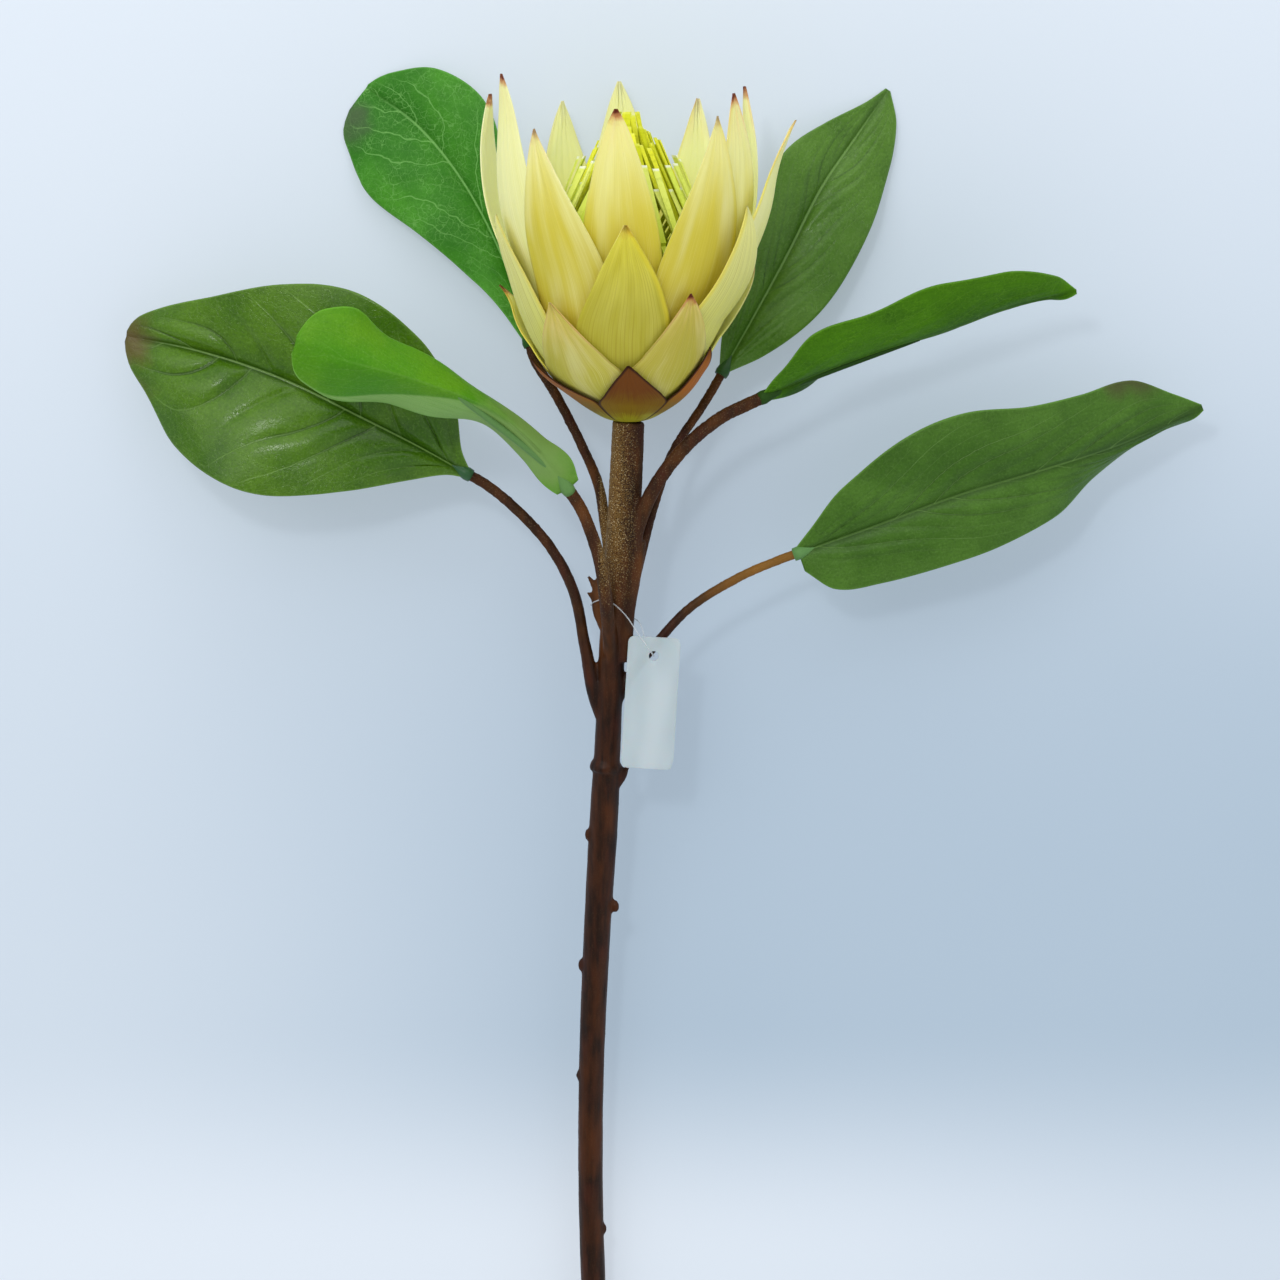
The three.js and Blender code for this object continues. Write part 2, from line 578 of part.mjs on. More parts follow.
function strandCentre({ core, rings }) {
  const outline = core.map(([r, h]) => new THREE.Vector2(r, h));
  if (core[0][0] > 0) outline.push(outline[0].clone());
  const parts = [new THREE.LatheGeometry(outline, coreSides)];
  rings.forEach(({ count, turn, line }) => {
    for (let n = 0; n < count; n += 1) {
      const azimuth = ((n + turn) * Math.PI * 2) / count;
      const swing = strandSwing * Math.sin(azimuth * 2);
      const rise = strandUneven * Math.sin(n * 1.7);
      const uneven = [line[0], line[1], [line[2][0], line[2][1] + rise]];
      parts.push(strand(uneven, azimuth, swing));
    }
  });
  return fromSolid(joined(parts)).applyMatrix4(bloomPlace);
}

// Hang tag: a blank plastic card with round corners and a hole for its thread
function tagGeometry() {
  const [width, height, thickness] = tagSize;
  const x = width / 2;
  const y = height / 2;
  const card = new THREE.Shape();
  card.moveTo(-x + tagCorner, -y);
  card.lineTo(x - tagCorner, -y).quadraticCurveTo(x, -y, x, -y + tagCorner);
  card.lineTo(x, y - tagCorner).quadraticCurveTo(x, y, x - tagCorner, y);
  card.lineTo(-x + tagCorner, y).quadraticCurveTo(-x, y, -x, y - tagCorner);
  card.lineTo(-x, -y + tagCorner).quadraticCurveTo(-x, -y, -x + tagCorner, -y);
  const hole = new THREE.Path();
  hole.absarc(0, y - tagHoleFromTop, tagHole, 0, Math.PI * 2, true);
  card.holes.push(hole);
  const settings = { depth: thickness, bevelEnabled: false, curveSegments: tagCurveSteps };
  return new THREE.ExtrudeGeometry(card, settings).translate(0, 0, -thickness / 2);
}

// The thread's closed loop: through the tag's hole, over the right fork, under the front
// left twig and back round below the stem.
const threadLoop = [[12.2, 308.4, 35], [8.2, 315, 36.2], [3.2, 323, 36.2], [-2.8, 326.2, 35.8],
  [-6.2, 325.4, 33.8], [-7.5, 324, 30.2], [-5.4, 323.2, 26], [0.4, 321.4, 23.7], [5.6, 319.6, 25.2],
  [8, 318, 28.4], [9.6, 313.4, 30.6], [12, 308.6, 32.1]];

const group = new THREE.Group();

function addPiece(name, geometry, finish) {
  const bare = geometry.clone();
  bare.deleteAttribute('normal');
  bare.deleteAttribute('uv');
  const material = new THREE.MeshStandardMaterial(finishes[finish]);
  const mesh = new THREE.Mesh(mergeVertices(bare, weldDistance), material);
  mesh.geometry.computeVertexNormals();
  mesh.name = name;
  group.add(mesh);
  return mesh;
}

// What lies on the surface ends in a small flat there.
function flattened(solid) {
  const above = new THREE.BoxGeometry(...floorBlock).translate(0, 0, floorBlock[2] / 2);
  return fromSolid(solid.intersect(toSolid(above)));
}

addPiece('stem', flattened(joined(stemParts())), 'bark');
Object.entries(leaves).forEach(([name, leaf]) => {
  const solid = joined([sheet(leafGrid(leaf), bladeThickness), leafSleeve(leaf)]);
  addPiece(name, flattened(solid), 'leaf');
});
Object.entries(whorls).forEach(([name, whorlSizes]) => {
  addPiece(name, flattened(toSolid(whorl(whorlSizes))), whorlSizes.finish);
});
Object.entries(strandCentres).forEach(([name, centre]) => {
  addPiece(name, strandCentre(centre), centre.finish);
});
const tag = addPiece('hang_tag', tagGeometry(), 'tag');
tag.position.set(...tagCentre);
tag.rotation.set(0, radians(tagLean), radians(tagTurn));
const loop = new THREE.CatmullRomCurve3(threadLoop.map(vector), true);
addPiece('tag_loop', new THREE.TubeGeometry(loop, threadSteps, threadRadius, threadSides, true), 'thread');

const box = new THREE.Box3().setFromObject(group);
const centre = box.getCenter(new THREE.Vector3());
group.position.set(-centre.x, -centre.y, 0);

export default group;
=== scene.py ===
# An artificial protea stem that lies on a pale floor: a cup-shaped bloom, six leaves on bent
# twigs and a blank hang tag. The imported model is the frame, and finer pieces stand for its
# nodes. Sizes are in millimetres in the stem's own frame, and spots() turns them into metres.
import math
import random

import bpy
import numpy as np
from mathutils import Matrix, Vector, noise


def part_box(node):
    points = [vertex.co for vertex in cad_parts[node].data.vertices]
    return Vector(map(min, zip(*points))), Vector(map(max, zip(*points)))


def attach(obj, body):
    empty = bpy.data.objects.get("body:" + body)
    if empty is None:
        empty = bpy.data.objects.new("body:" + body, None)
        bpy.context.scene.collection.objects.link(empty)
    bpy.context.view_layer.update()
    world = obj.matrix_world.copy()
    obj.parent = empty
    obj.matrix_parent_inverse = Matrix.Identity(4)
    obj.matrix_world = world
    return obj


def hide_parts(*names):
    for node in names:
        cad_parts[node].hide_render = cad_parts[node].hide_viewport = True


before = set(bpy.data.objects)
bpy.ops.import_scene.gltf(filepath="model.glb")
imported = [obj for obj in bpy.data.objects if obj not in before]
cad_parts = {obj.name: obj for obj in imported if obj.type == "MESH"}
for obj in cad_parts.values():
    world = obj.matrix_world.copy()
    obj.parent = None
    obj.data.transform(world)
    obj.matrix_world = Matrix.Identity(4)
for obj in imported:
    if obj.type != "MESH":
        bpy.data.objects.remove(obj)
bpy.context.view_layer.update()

mm = 0.001
imageSide = 1280  # the photograph is square

# The tag's middle in the stem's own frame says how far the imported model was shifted
tag = {"middle": (11.4, 293.2, 33.6), "size": (16.6, 42), "thickness": 0.8, "corner": 2, "edge": 0.18,
       "turn": -3.5, "lean": 3, "hole": 1.5, "holeFromTop": 6, "arch": 0.5, "columns": 180, "rows": 14,
       "farthest": 60, "halvings": 30}
tagLow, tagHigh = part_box("hang_tag")
tagMiddle = (tagLow + tagHigh) / 2
shift = np.array([tagMiddle.x / mm - tag["middle"][0], tagMiddle.y / mm - tag["middle"][1], 0])


def spots(points):
    return (np.asarray(points, float) + shift) * mm


# Camera
view = {"target": (8, 312, 20), "distance": 1500, "tilt": 5, "pixel": 0.319}
tilt = math.radians(view["tilt"])
cameraData = bpy.data.cameras.new("camera")
camera = bpy.data.objects.new("camera", cameraData)
bpy.context.scene.collection.objects.link(camera)
back = np.array([0, math.sin(tilt), math.cos(tilt)]) * view["distance"]
camera.location = Vector(spots(np.array(view["target"]) + back))
camera.rotation_euler = (-tilt, 0, 0)
cameraData.lens = cameraData.sensor_width * view["distance"] / (view["pixel"] * imageSide)
cameraData.clip_end = 20
bpy.context.scene.camera = camera
print("camera done")


# Reading smooth values and lines

nearby = 0.004       # share of a line between the spots that give its direction
anyPhase = (0, 6.3)  # about a full turn, in radians


def readRows(rows, keys):
    # rows of [key, value, value, ...] read at each key, smooth through the rows
    table = np.array(rows, float)
    keys = np.clip(np.asarray(keys, float), table[0, 0], table[-1, 0])
    i = np.clip(np.searchsorted(table[:, 0], keys) - 1, 0, len(table) - 2)
    last = len(table) - 1
    before, after = np.maximum(i - 1, 0), np.minimum(i + 2, last)
    span = (table[i + 1, 0] - table[i, 0])[:, None]
    t = ((keys - table[i, 0])[:, None]) / span
    start = (table[i + 1, 1:] - table[before, 1:]) / (table[i + 1, :1] - table[before, :1]) * span
    end = (table[after, 1:] - table[i, 1:]) / (table[after, :1] - table[i, :1]) * span
    low, high = table[i, 1:], table[i + 1, 1:]
    return low + (high - low) * t * t * (3 - 2 * t) + t * (1 - t) * ((1 - t) * start - t * end)


class Line:
    # A smooth line through points, read by its share of length; values after z ride along
    # An even line gives each of its stretches the same weight, however long it is
    def __init__(self, points, closed=False, even=False, fine=24):
        p = np.array(points, float)
        count = len(p)
        size = min(p.shape[1], 3)
        table = []
        for n in range(count if closed else count - 1):
            b, c = p[n], p[(n + 1) % count]
            a = p[n - 1] if closed or n > 0 else (b if even else 2 * b - c)
            d = p[(n + 2) % count] if closed or n + 2 < count else (c if even else 2 * c - b)
            gaps = [1 if even else math.sqrt(max(np.linalg.norm((q - o)[:size]), 1e-6))
                    for o, q in ((a, b), (b, c), (c, d))]
            start = ((b - a) / gaps[0] - (c - a) / (gaps[0] + gaps[1]) + (c - b) / gaps[1]) * gaps[1]
            end = ((c - b) / gaps[1] - (d - b) / (gaps[1] + gaps[2]) + (d - c) / gaps[2]) * gaps[1]
            for k in range(fine):
                t = k / fine
                table.append(b + (c - b) * t * t * (3 - 2 * t) + t * (1 - t) * ((1 - t) * start - t * end))
        table.append(p[0] if closed else p[-1])
        self.table = np.array(table)
        steps = np.linalg.norm(np.diff(self.table[:, :size], axis=0), axis=1)
        self.run = np.concatenate([[0], np.cumsum(steps)])
        self.length = self.run[-1]
        self.size = size

    def at(self, shares):
        reach = np.clip(np.asarray(shares, float), 0, 1) * self.length
        return np.stack([np.interp(reach, self.run, column) for column in self.table.T], axis=-1)

    def way(self, shares):
        shares = np.asarray(shares, float)
        step = self.at(np.minimum(shares + nearby, 1)) - self.at(np.maximum(shares - nearby, 0))
        return unit(step[..., :self.size])


def unit(vectors):
    return vectors / np.maximum(np.linalg.norm(vectors, axis=-1, keepdims=True), 1e-9)


def smoothStep(value, low, high):
    t = np.clip((value - low) / (high - low), 0, 1)
    return t * t * (3 - 2 * t)


# Modelling steps

def deselect():
    bpy.ops.object.select_all(action="DESELECT")


def only(piece):
    deselect()
    piece.select_set(True)
    bpy.context.view_layer.objects.active = piece


def edit(piece, *steps):
    # steps in edit mode on the whole piece, each an operator and its settings
    only(piece)
    bpy.ops.object.mode_set(mode="EDIT")
    bpy.ops.mesh.select_all(action="SELECT")
    for step, settings in steps:
        step(**settings)
    bpy.ops.object.mode_set(mode="OBJECT")


def merge(distance):
    return bpy.ops.mesh.remove_doubles, {"threshold": distance * mm}


closeHoles = (bpy.ops.mesh.fill_holes, {"sides": 0})
faceOutward = (bpy.ops.mesh.normals_make_consistent, {"inside": False})


def apply(piece, kind, **settings):
    only(piece)
    modifier = piece.modifiers.new(kind.lower(), kind)
    for key, value in settings.items():
        setattr(modifier, key, value)
    bpy.ops.object.modifier_apply(modifier=modifier.name)


def readPoints(piece, what="co"):
    points = np.empty(len(piece.data.vertices) * 3, np.float32)
    piece.data.vertices.foreach_get(what, points)
    return points.reshape(-1, 3).astype(float)


def writePoints(piece, points):
    piece.data.vertices.foreach_set("co", np.asarray(points, np.float32).ravel())
    piece.data.update()


def offFloor(points):
    # nothing sinks into the surface
    points[:, 2] = np.maximum(points[:, 2], 0)
    return points


def note(piece, name, values):
    # a value at each vertex for the material to read
    layer = piece.data.attributes.get(name) or piece.data.attributes.new(name, "FLOAT", "POINT")
    layer.data.foreach_set("value", np.broadcast_to(np.asarray(values, np.float32), len(layer.data)).copy())


def addGrid(name, columns, rows):
    # a flat grid, and where its points are: across -1..1 and along 0..1
    deselect()
    bpy.ops.mesh.primitive_grid_add(x_subdivisions=columns, y_subdivisions=rows, size=2)
    piece = bpy.context.object
    piece.name = piece.data.name = name
    flat = readPoints(piece)
    return piece, flat[:, 0], (flat[:, 1] + 1) / 2


thinning = {"edge": 0.4, "over": 2.5}    # a sheet's share of its thickness at its edge, full this far in


def addSheet(name, columns, rows, shape, thickness, side, under):
    # a grid given a shape and a thickness; shape(across, along) gives its points and its notes
    piece, across, along = addGrid(name, columns, rows)
    points, notes = shape(across, along)
    writePoints(piece, spots(points))
    count = len(points)
    for key, values in notes.items():
        note(piece, key, values)
    apply(piece, "SOLIDIFY", thickness=thickness * mm, offset=side, use_even_offset=False)
    note(piece, under, (np.arange(len(piece.data.vertices)) >= count).astype(float))
    both = readPoints(piece)
    full = smoothStep(notes["fromEdge"], 0, thinning["over"])[:, None]
    share = thinning["edge"] + (1 - thinning["edge"]) * full
    both[count:] = both[:count] + (both[count:] - both[:count]) * share
    writePoints(piece, both)
    return piece


def addTube(name, line, sides, rows, upward=(0, 0, 1), closed=False):
    # a grid rolled into a tube along a line whose rows are [x, y, z, radius]
    piece, across, share = addGrid(name, sides, rows)
    centre, way = line.at(share), line.way(share)
    if closed:
        way = unit(line.at((share + nearby) % 1)[:, :3] - line.at((share - nearby) % 1)[:, :3])
    out = unit(np.cross(way, np.array(upward, float)))
    lift = np.cross(out, way)
    angle = (across + 1) * math.pi
    ring = out * np.cos(angle)[:, None] + lift * np.sin(angle)[:, None]
    writePoints(piece, spots(centre[:, :3] + ring * centre[:, 3:4]))
    edit(piece, merge(0.02), closeHoles, faceOutward)
    return piece


def join(name, pieces):
    deselect()
    for piece in pieces:
        piece.select_set(True)
    bpy.context.view_layer.objects.active = pieces[0]
    bpy.ops.object.join()
    pieces[0].name = pieces[0].data.name = name
    return pieces[0]


def finishPiece(piece, node, material, angle=None):
    # the last step of a piece: smooth faces, its finish, and its place in the frame
    only(piece)
    bpy.ops.object.shade_smooth()
    if angle is not None:
        bpy.ops.object.shade_smooth_by_angle(angle=math.radians(angle))
    piece.data.materials.clear()
    piece.data.materials.append(material)
    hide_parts(node)
    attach(piece, "root")
    print(piece.name, len(piece.data.polygons), "faces")


# Material nodes

def colours(**screen):
    # colours by name, from 8-bit screen values
    return {name: tuple(c / 12.92 if c <= 0.04045 else ((c + 0.055) / 1.055) ** 2.4
                        for c in (value / 255 for value in values)) + (1,)
            for name, values in screen.items()}


class Flow:
    # one output socket; sums on it add Math nodes
    def __init__(self, finish, socket):
        self.finish = finish
        self.socket = socket

    def sum(self, operation, first, second=0.0):
        return self.finish.add("ShaderNodeMath", {"operation": operation}, {0: first, 1: second})

    def __add__(self, other):
        return self.sum("ADD", self, other)

    def __radd__(self, other):
        return self.sum("ADD", other, self)

    def __sub__(self, other):
        return self.sum("SUBTRACT", self, other)

    def __rsub__(self, other):
        return self.sum("SUBTRACT", other, self)

    def __mul__(self, other):
        return self.sum("MULTIPLY", self, other)

    def __rmul__(self, other):
        return self.sum("MULTIPLY", other, self)

    def __truediv__(self, other):
        return self.sum("DIVIDE", self, other)

    def __rtruediv__(self, other):
        return self.sum("DIVIDE", other, self)

    def __pow__(self, other):
        return self.sum("POWER", self, other)

    def __abs__(self):
        return self.sum("ABSOLUTE", self)

    def fraction(self):
        return self.sum("FRACT", self)

    def sine(self):
        return self.sum("SINE", self)

    def above(self, edge):
        return self.sum("GREATER_THAN", self, edge)

    def within(self, low, high):
        # 0 at low and 1 at high, eased between them; low may be the larger
        return self.finish.add("ShaderNodeMapRange", {"interpolation_type": "SMOOTHSTEP"},
                               {0: self, 1: low, 2: high, 3: 0.0, 4: 1.0})


class Finish:
    # a material: its Principled shader, the nodes that feed it, and the skin that they build up
    def __init__(self, name, look, **constants):
        self.look = look
        self.skin = None
        self.material = bpy.data.materials.new(name)
        self.material.use_nodes = True
        self.tree = self.material.node_tree
        self.shader = self.tree.nodes["Principled BSDF"]
        for key, value in constants.items():
            self.shader.inputs[key.replace("_", " ")].default_value = value
        self.place = self.add("ShaderNodeTexCoord", {}, {}, "Object")

    def add(self, kind, settings, values, out=0):
        node = self.tree.nodes.new(kind)
        for key, value in settings.items():
            setattr(node, key, value)
        for key, value in values.items():
            if isinstance(value, Flow):
                self.tree.links.new(value.socket, node.inputs[key])
            else:
                node.inputs[key].default_value = value
        return Flow(self, node.outputs[out])

    def mix(self, share, first, second, blend="MIX"):
        return self.add("ShaderNodeMix", {"data_type": "RGBA", "blend_type": blend},
                        {0: share, 6: first, 7: second}, 2)

    def paint(self, share, over):
        # a colour over the skin: a flow, or one of the look's colours by its name
        self.skin = self.mix(share, self.skin, self.look[over] if isinstance(over, str) else over)

    def feed(self, name, flow):
        self.tree.links.new(flow.socket, self.shader.inputs[name])

    def seal(self, roughness, height, strength, distance):
        # skin, roughness and relief go to the shader
        self.feed("Base Color", self.skin)
        self.feed("Roughness", roughness)
        self.feed("Normal", self.add("ShaderNodeBump", {}, {
            "Height": height, "Strength": strength, "Distance": distance * mm}))
        return self.material

    def notes(self, *names):
        return [self.add("ShaderNodeAttribute", {"attribute_name": name}, {}, "Fac") for name in names]

    def split(self, flow):
        # the x and the y of a place
        node = self.tree.nodes.new("ShaderNodeSeparateXYZ")
        self.tree.links.new(flow.socket, node.inputs[0])
        return [Flow(self, node.outputs[index]) for index in (0, 1)]

    def sheetPlace(self):
        # across -1..1 and along 0..1 on the piece's own map
        across, along = self.split(self.add("ShaderNodeTexCoord", {}, {}, "UV"))
        return across * 2.0 - 1.0, along

    def scaled(self, flow, x, y, z):
        return self.add("ShaderNodeVectorMath", {"operation": "MULTIPLY"}, {0: flow, 1: (x, y, z)})

    def grain(self, place, scale, detail=2.0, roughness=0.5, out="Fac"):
        return self.add("ShaderNodeTexNoise", {}, {
            "Vector": place, "Scale": scale, "Detail": detail, "Roughness": roughness}, out)

    def streaks(self, across, along, detail=2.0, roughness=0.5):
        # grain on the piece's own map, drawn out where one of its scales is small
        place = self.add("ShaderNodeCombineXYZ", {}, {0: across, 1: along})
        return self.grain(place, 1.0, detail, roughness)

    def cells(self, place, scale, feature="DISTANCE_TO_EDGE"):
        return self.add("ShaderNodeTexVoronoi", {"feature": feature},
                        {"Vector": place, "Scale": scale}, "Distance")


# Petals and bracts

bloom = {"base": (4.4, 382.6, 34.05), "tilt": 5, "tierPitch": 1.4, "thickness": 0.8, "hole": 2.8,
         "spread": 0.3, "swellStart": 0.35, "tossStart": 0.75, "bow": -1.8, "bowStart": (5.5, 16),
         "bowEnd": (26, 50)}
# The cup's outline from the peg out and up, as [radius, height]
cup = Line([[2.8, 0], [5, 0.1], [9.4, 1.8], [17.2, 7], [25.2, 15], [33.5, 29.3], [40.2, 48.5], [44.2, 66],
            [44.9, 84], [43.2, 101], [41.5, 116]], even=True)

# Share of a petal's half width, from where the petals part (0) to its tip (1)
slender = [[0, 1], [0.2, 1.02], [0.42, 1.04], [0.55, 0.98], [0.67, 0.83], [0.78, 0.62], [0.87, 0.42],
           [0.94, 0.24], [1, 0.03]]
broad = [[0, 1], [0.22, 1.02], [0.41, 0.99], [0.55, 0.83], [0.7, 0.61], [0.85, 0.33], [1, 0.02]]
wedge = [[0, 1], [0.3, 0.84], [0.6, 0.53], [0.85, 0.22], [1, 0.02]]

# Each petal is [azimuth, tip height, half width, turn of the tip, swell, toss of the tip, narrowing]
# and its marks are [dark tip, blush, bright left edge, bright right edge, dark left line,
# dark right line, creamAndLight]. The last mark is partly the petal's own pale colour and partly
# painted light that brightens petals lying in shade, as if lit through.
whorls = {
    "bracts": {"layer": 0, "parting": 6, "outline": wedge, "petals": [
        [7.5, 20.4, 11.6, -4, 0, 0, 1], [78, 24.6, 11.6, -17, 0, 0, 1], [146, 22, 11.6, 0, 0, 0, 1],
        [216, 20, 11.6, 0, 0, 0, 1], [287, 20.2, 12.6, -4, 0.6, 0, 1]],
        "marks": [[0, 0, 0, 0, 1, 1, 0], [0, 1, 0, 0, 1, 0.6, 0], [0, 1, 0, 0, 1, 1, 0],
                  [0, 1, 0, 0, 1, 1, 0], [0, 1, 0, 0, 0.6, 1, 0]]},
    "petals_lower": {"layer": 1, "parting": 14, "outline": wedge, "petals": [
        [38.5, 42.8, 15, -8, 1.2, 0.4, 1], [105, 48, 15, -4, 3, -1.2, 1], [180, 46, 15, 0, 0, 0, 1],
        [252, 41, 15, 2, 2.2, 3.2, 1], [326, 39.5, 15, -6, 0, 0.4, 1]],
        "marks": [[1, 0.6, 0, 0, 0.7, 0, 0], [0.6, 0.4, 0, 0, 0, 0, 1], [0.4, 0.3, 0, 0, 0, 0, 0.5],
                  [0.8, 0.6, 0.2, 0.8, 0, 0, 0.6], [0.1, 0.8, 0, 0, 0, 0.7, 0.1]]},
    "petals_middle": {"layer": 2, "parting": 13, "outline": broad, "petals": [
        [0, 64.6, 14.8, -1, 1, 0, 1], [62.4, 69.4, 13.8, -12, 5.6, 0, 1], [144, 66, 14.2, 0, 0, 0, 1],
        [212, 69, 14.4, 0, 0, 0, 1], [289.5, 65.4, 14.6, -2.5, 1.8, 0, 0.85]],
        "marks": [[0.35, 0, 0, 0.6, 0, 0.2, 0], [0, 0, 0.7, 0, 0, 0, 0.85], [0.4, 0.2, 0, 0, 0, 0, 0.5],
                  [0.4, 0.2, 0, 0, 0, 0, 0.5], [0, 0.2, 0, 0.5, 0, 0.3, 0.9]]},
    "petals_outer": {"layer": 3, "parting": 12, "outline": slender, "petals": [
        [34.6, 98, 13.6, 5.6, 3, 0, 1.2], [74, 95, 15.6, 8, 6, 6.8, 1.05],
        [180, 104.4, 13, 4.5, 0, 0.5, 1], [257, 102, 13, -2, 6, 0, 0.75],
        [332, 94, 13.4, -15, 2.4, 0, 1.15]],
        "marks": [[0.4, 0.4, 0, 0.3, 0, 0, 0], [0.2, 1, 0.8, 0.4, 0, 0, 1], [0, 0.1, 0.2, 0.2, 0, 0, 0],
                  [1, 0.5, 0, 0, 0, 0, 1], [0.5, 0.4, 0, 0, 0, 0, 0]]},
    "petals_inner": {"layer": 4, "parting": 12, "outline": slender, "petals": [
        [-2.5, 100.6, 12.4, -3, 1, 0, 0.9], [56, 104.4, 12.6, -1.5, 2.4, 0, 1],
        [109, 104.4, 11.4, 1, 1.4, 0, 1], [152, 99.6, 11, -7, 0.4, 0, 1],
        [208, 98.8, 12, 5.5, 0.4, 0, 1], [301.5, 110, 13.8, -8.5, 3.2, 2.8, 0.85]],
        "marks": [[1, 0.6, 0.2, 0, 0, 0, 0], [1, 1, 0.4, 0, 0, 0, 0.4], [1, 0.8, 0, 0, 0, 0, 0.6],
                  [0.2, 1, 0, 0.4, 0, 0, 0], [0, 0.1, 0.2, 0.2, 0, 0, 0], [1, 0.6, 0, 0, 0, 0, 0.9]]},
}
petal = {"columns": 28, "row": 1.2, "rib": 0.09, "ribs": 6, "edgeCurl": 0.45, "crease": 0.12,
         "creaseWidth": 0.09, "creaseRise": (0.6, 0.95), "reliefRise": (0.15, 0.5)}
markNames = ("darkTip", "blush", "brightLeft", "brightRight", "lineLeft", "lineRight", "creamAndLight")


def inBloom(points):
    # from the bloom's frame (Y up its axis, Z off the floor) to the stem's
    turn = Matrix.Rotation(math.radians(bloom["tilt"]), 3, "X")
    return points @ np.array(turn).T + np.array(bloom["base"])


def cupShare(height):
    return np.interp(height, cup.table[:, 1], cup.run / cup.length)


def bowAt(height):
    # the lower half of the cup leans to one side
    risen, ended = smoothStep(height, *bloom["bowStart"]), smoothStep(height, *bloom["bowEnd"])
    return bloom["bow"] * risen * (1 - ended)


def past(risen, start):
    return np.maximum((risen - start) / (1 - start), 0)


def petalShape(whorl, index, draw):
    azimuth, tip, halfWidth, turn, swell, toss, narrowing = whorl["petals"][index]
    azimuths = [row[0] for row in whorl["petals"]]
    following = azimuths[(index + 1) % len(azimuths)] + (360 if index + 1 == len(azimuths) else 0)
    left = (azimuths[index - 1] - (360 if index == 0 else 0) + azimuth) / 2
    right = (following + azimuth) / 2
    parting, end = cupShare(whorl["parting"]), cupShare(tip)
    curl = draw.uniform(-0.4, 1) * petal["edgeCurl"]
    phase = draw.uniform(*anyPhase)
    own = draw.random()

    def shape(across, along):
        share = along * end
        risen = np.clip((share - parting) / (end - parting), 0, 1)
        outer, way = cup.at(share), cup.way(share)
        depth = whorl["layer"] * bloom["tierPitch"]
        swelled = swell * (1 - (1 - past(risen, bloom["swellStart"])) ** 2)
        tossed = toss * past(risen, bloom["tossStart"]) ** 2
        radius = np.maximum(outer[:, 0] - way[:, 1] * depth, bloom["hole"]) + swelled + tossed
        height = outer[:, 1] + way[:, 0] * depth
        half = halfWidth * np.maximum(readRows(whorl["outline"], risen)[:, 0], 0.01) ** narrowing
        base = azimuth + np.where(across < 0, across * (azimuth - left), across * (right - azimuth))
        opened = azimuth + turn * risen ** 2 + np.degrees(half * across / radius)
        angle = np.radians(base + (opened - base) * smoothStep(risen, 0, bloom["spread"]))
        rib = petal["rib"] * np.cos(across * petal["ribs"] * math.pi + phase) * (1 - across ** 2)
        fold = np.exp(-(across / petal["creaseWidth"]) ** 2) * smoothStep(risen, *petal["creaseRise"])
        relief = curl * across ** 4 + rib - petal["crease"] * fold
        radius = radius + smoothStep(risen, *petal["reliefRise"]) * relief
        x = radius * np.sin(angle) + bowAt(height)
        points = offFloor(inBloom(np.stack([x, height, radius * np.cos(angle)], axis=1)))
        notes = {"fromTip": (end - share) * cup.length, "fromEdge": (1 - np.abs(across)) * half,
                 "height": height, "petal": own, **dict(zip(markNames, whorl["marks"][index]))}
        return points, notes

    return shape, end * cup.length


# Heights are in millimetres up the bloom, and a share says how much of a colour shows
petalLook = {
    "roughness": 0.55, "gloss": 0.12, "relief": 0.15,
    "glow": 0.35, "glowDepth": 3, "glowTint": (1, 0.95, 0.6),
    "low": 12.0, "mid": 56.0, "high": 92.0, "drift": 40.0, "creamRise": (20.0, 70.0), "creamShare": 0.85,
    "paleShare": 0.35, "lines": 74.0, "lineShare": 0.16, "hairShare": 0.22, "insideRise": (50.0, 86.0),
    "edgeShare": 0.8, "edgeLineShare": 0.75, "blushReach": 20.0, "blushShare": 0.5, "rimShare": 0.4,
    "tipReach": 5.0, "tipDarkReach": 2.8, "ragged": 4.0,
    **colours(foot=(178, 156, 36), belly=(206, 190, 64), upper=(231, 224, 142), pale=(238, 234, 176),
              creamLow=(234, 232, 120), creamHigh=(244, 243, 172), line=(192, 174, 66),
              inside=(246, 246, 182), insideLine=(232, 234, 130), insideDeep=(236, 232, 112),
              edge=(228, 206, 44), edgeLine=(128, 100, 30), blush=(238, 196, 132), rim=(226, 150, 106),
              tip=(178, 82, 48), tipDark=(92, 28, 18)),
}
lowerLook = {
    **petalLook, "low": 8.0, "mid": 28.0, "high": 56.0, "lineShare": 0.3, "hairShare": 0.32,
    **colours(foot=(186, 178, 66), belly=(190, 177, 68), upper=(214, 197, 96), line=(176, 150, 66)),
}
middleLook = {
    **petalLook, "low": 10.0, "mid": 42.0, "high": 66.0, "lineShare": 0.42, "hairShare": 0.3,
    **colours(foot=(180, 172, 62), belly=(178, 169, 50), upper=(220, 210, 70), pale=(212, 206, 106),
              line=(158, 140, 40)),
}


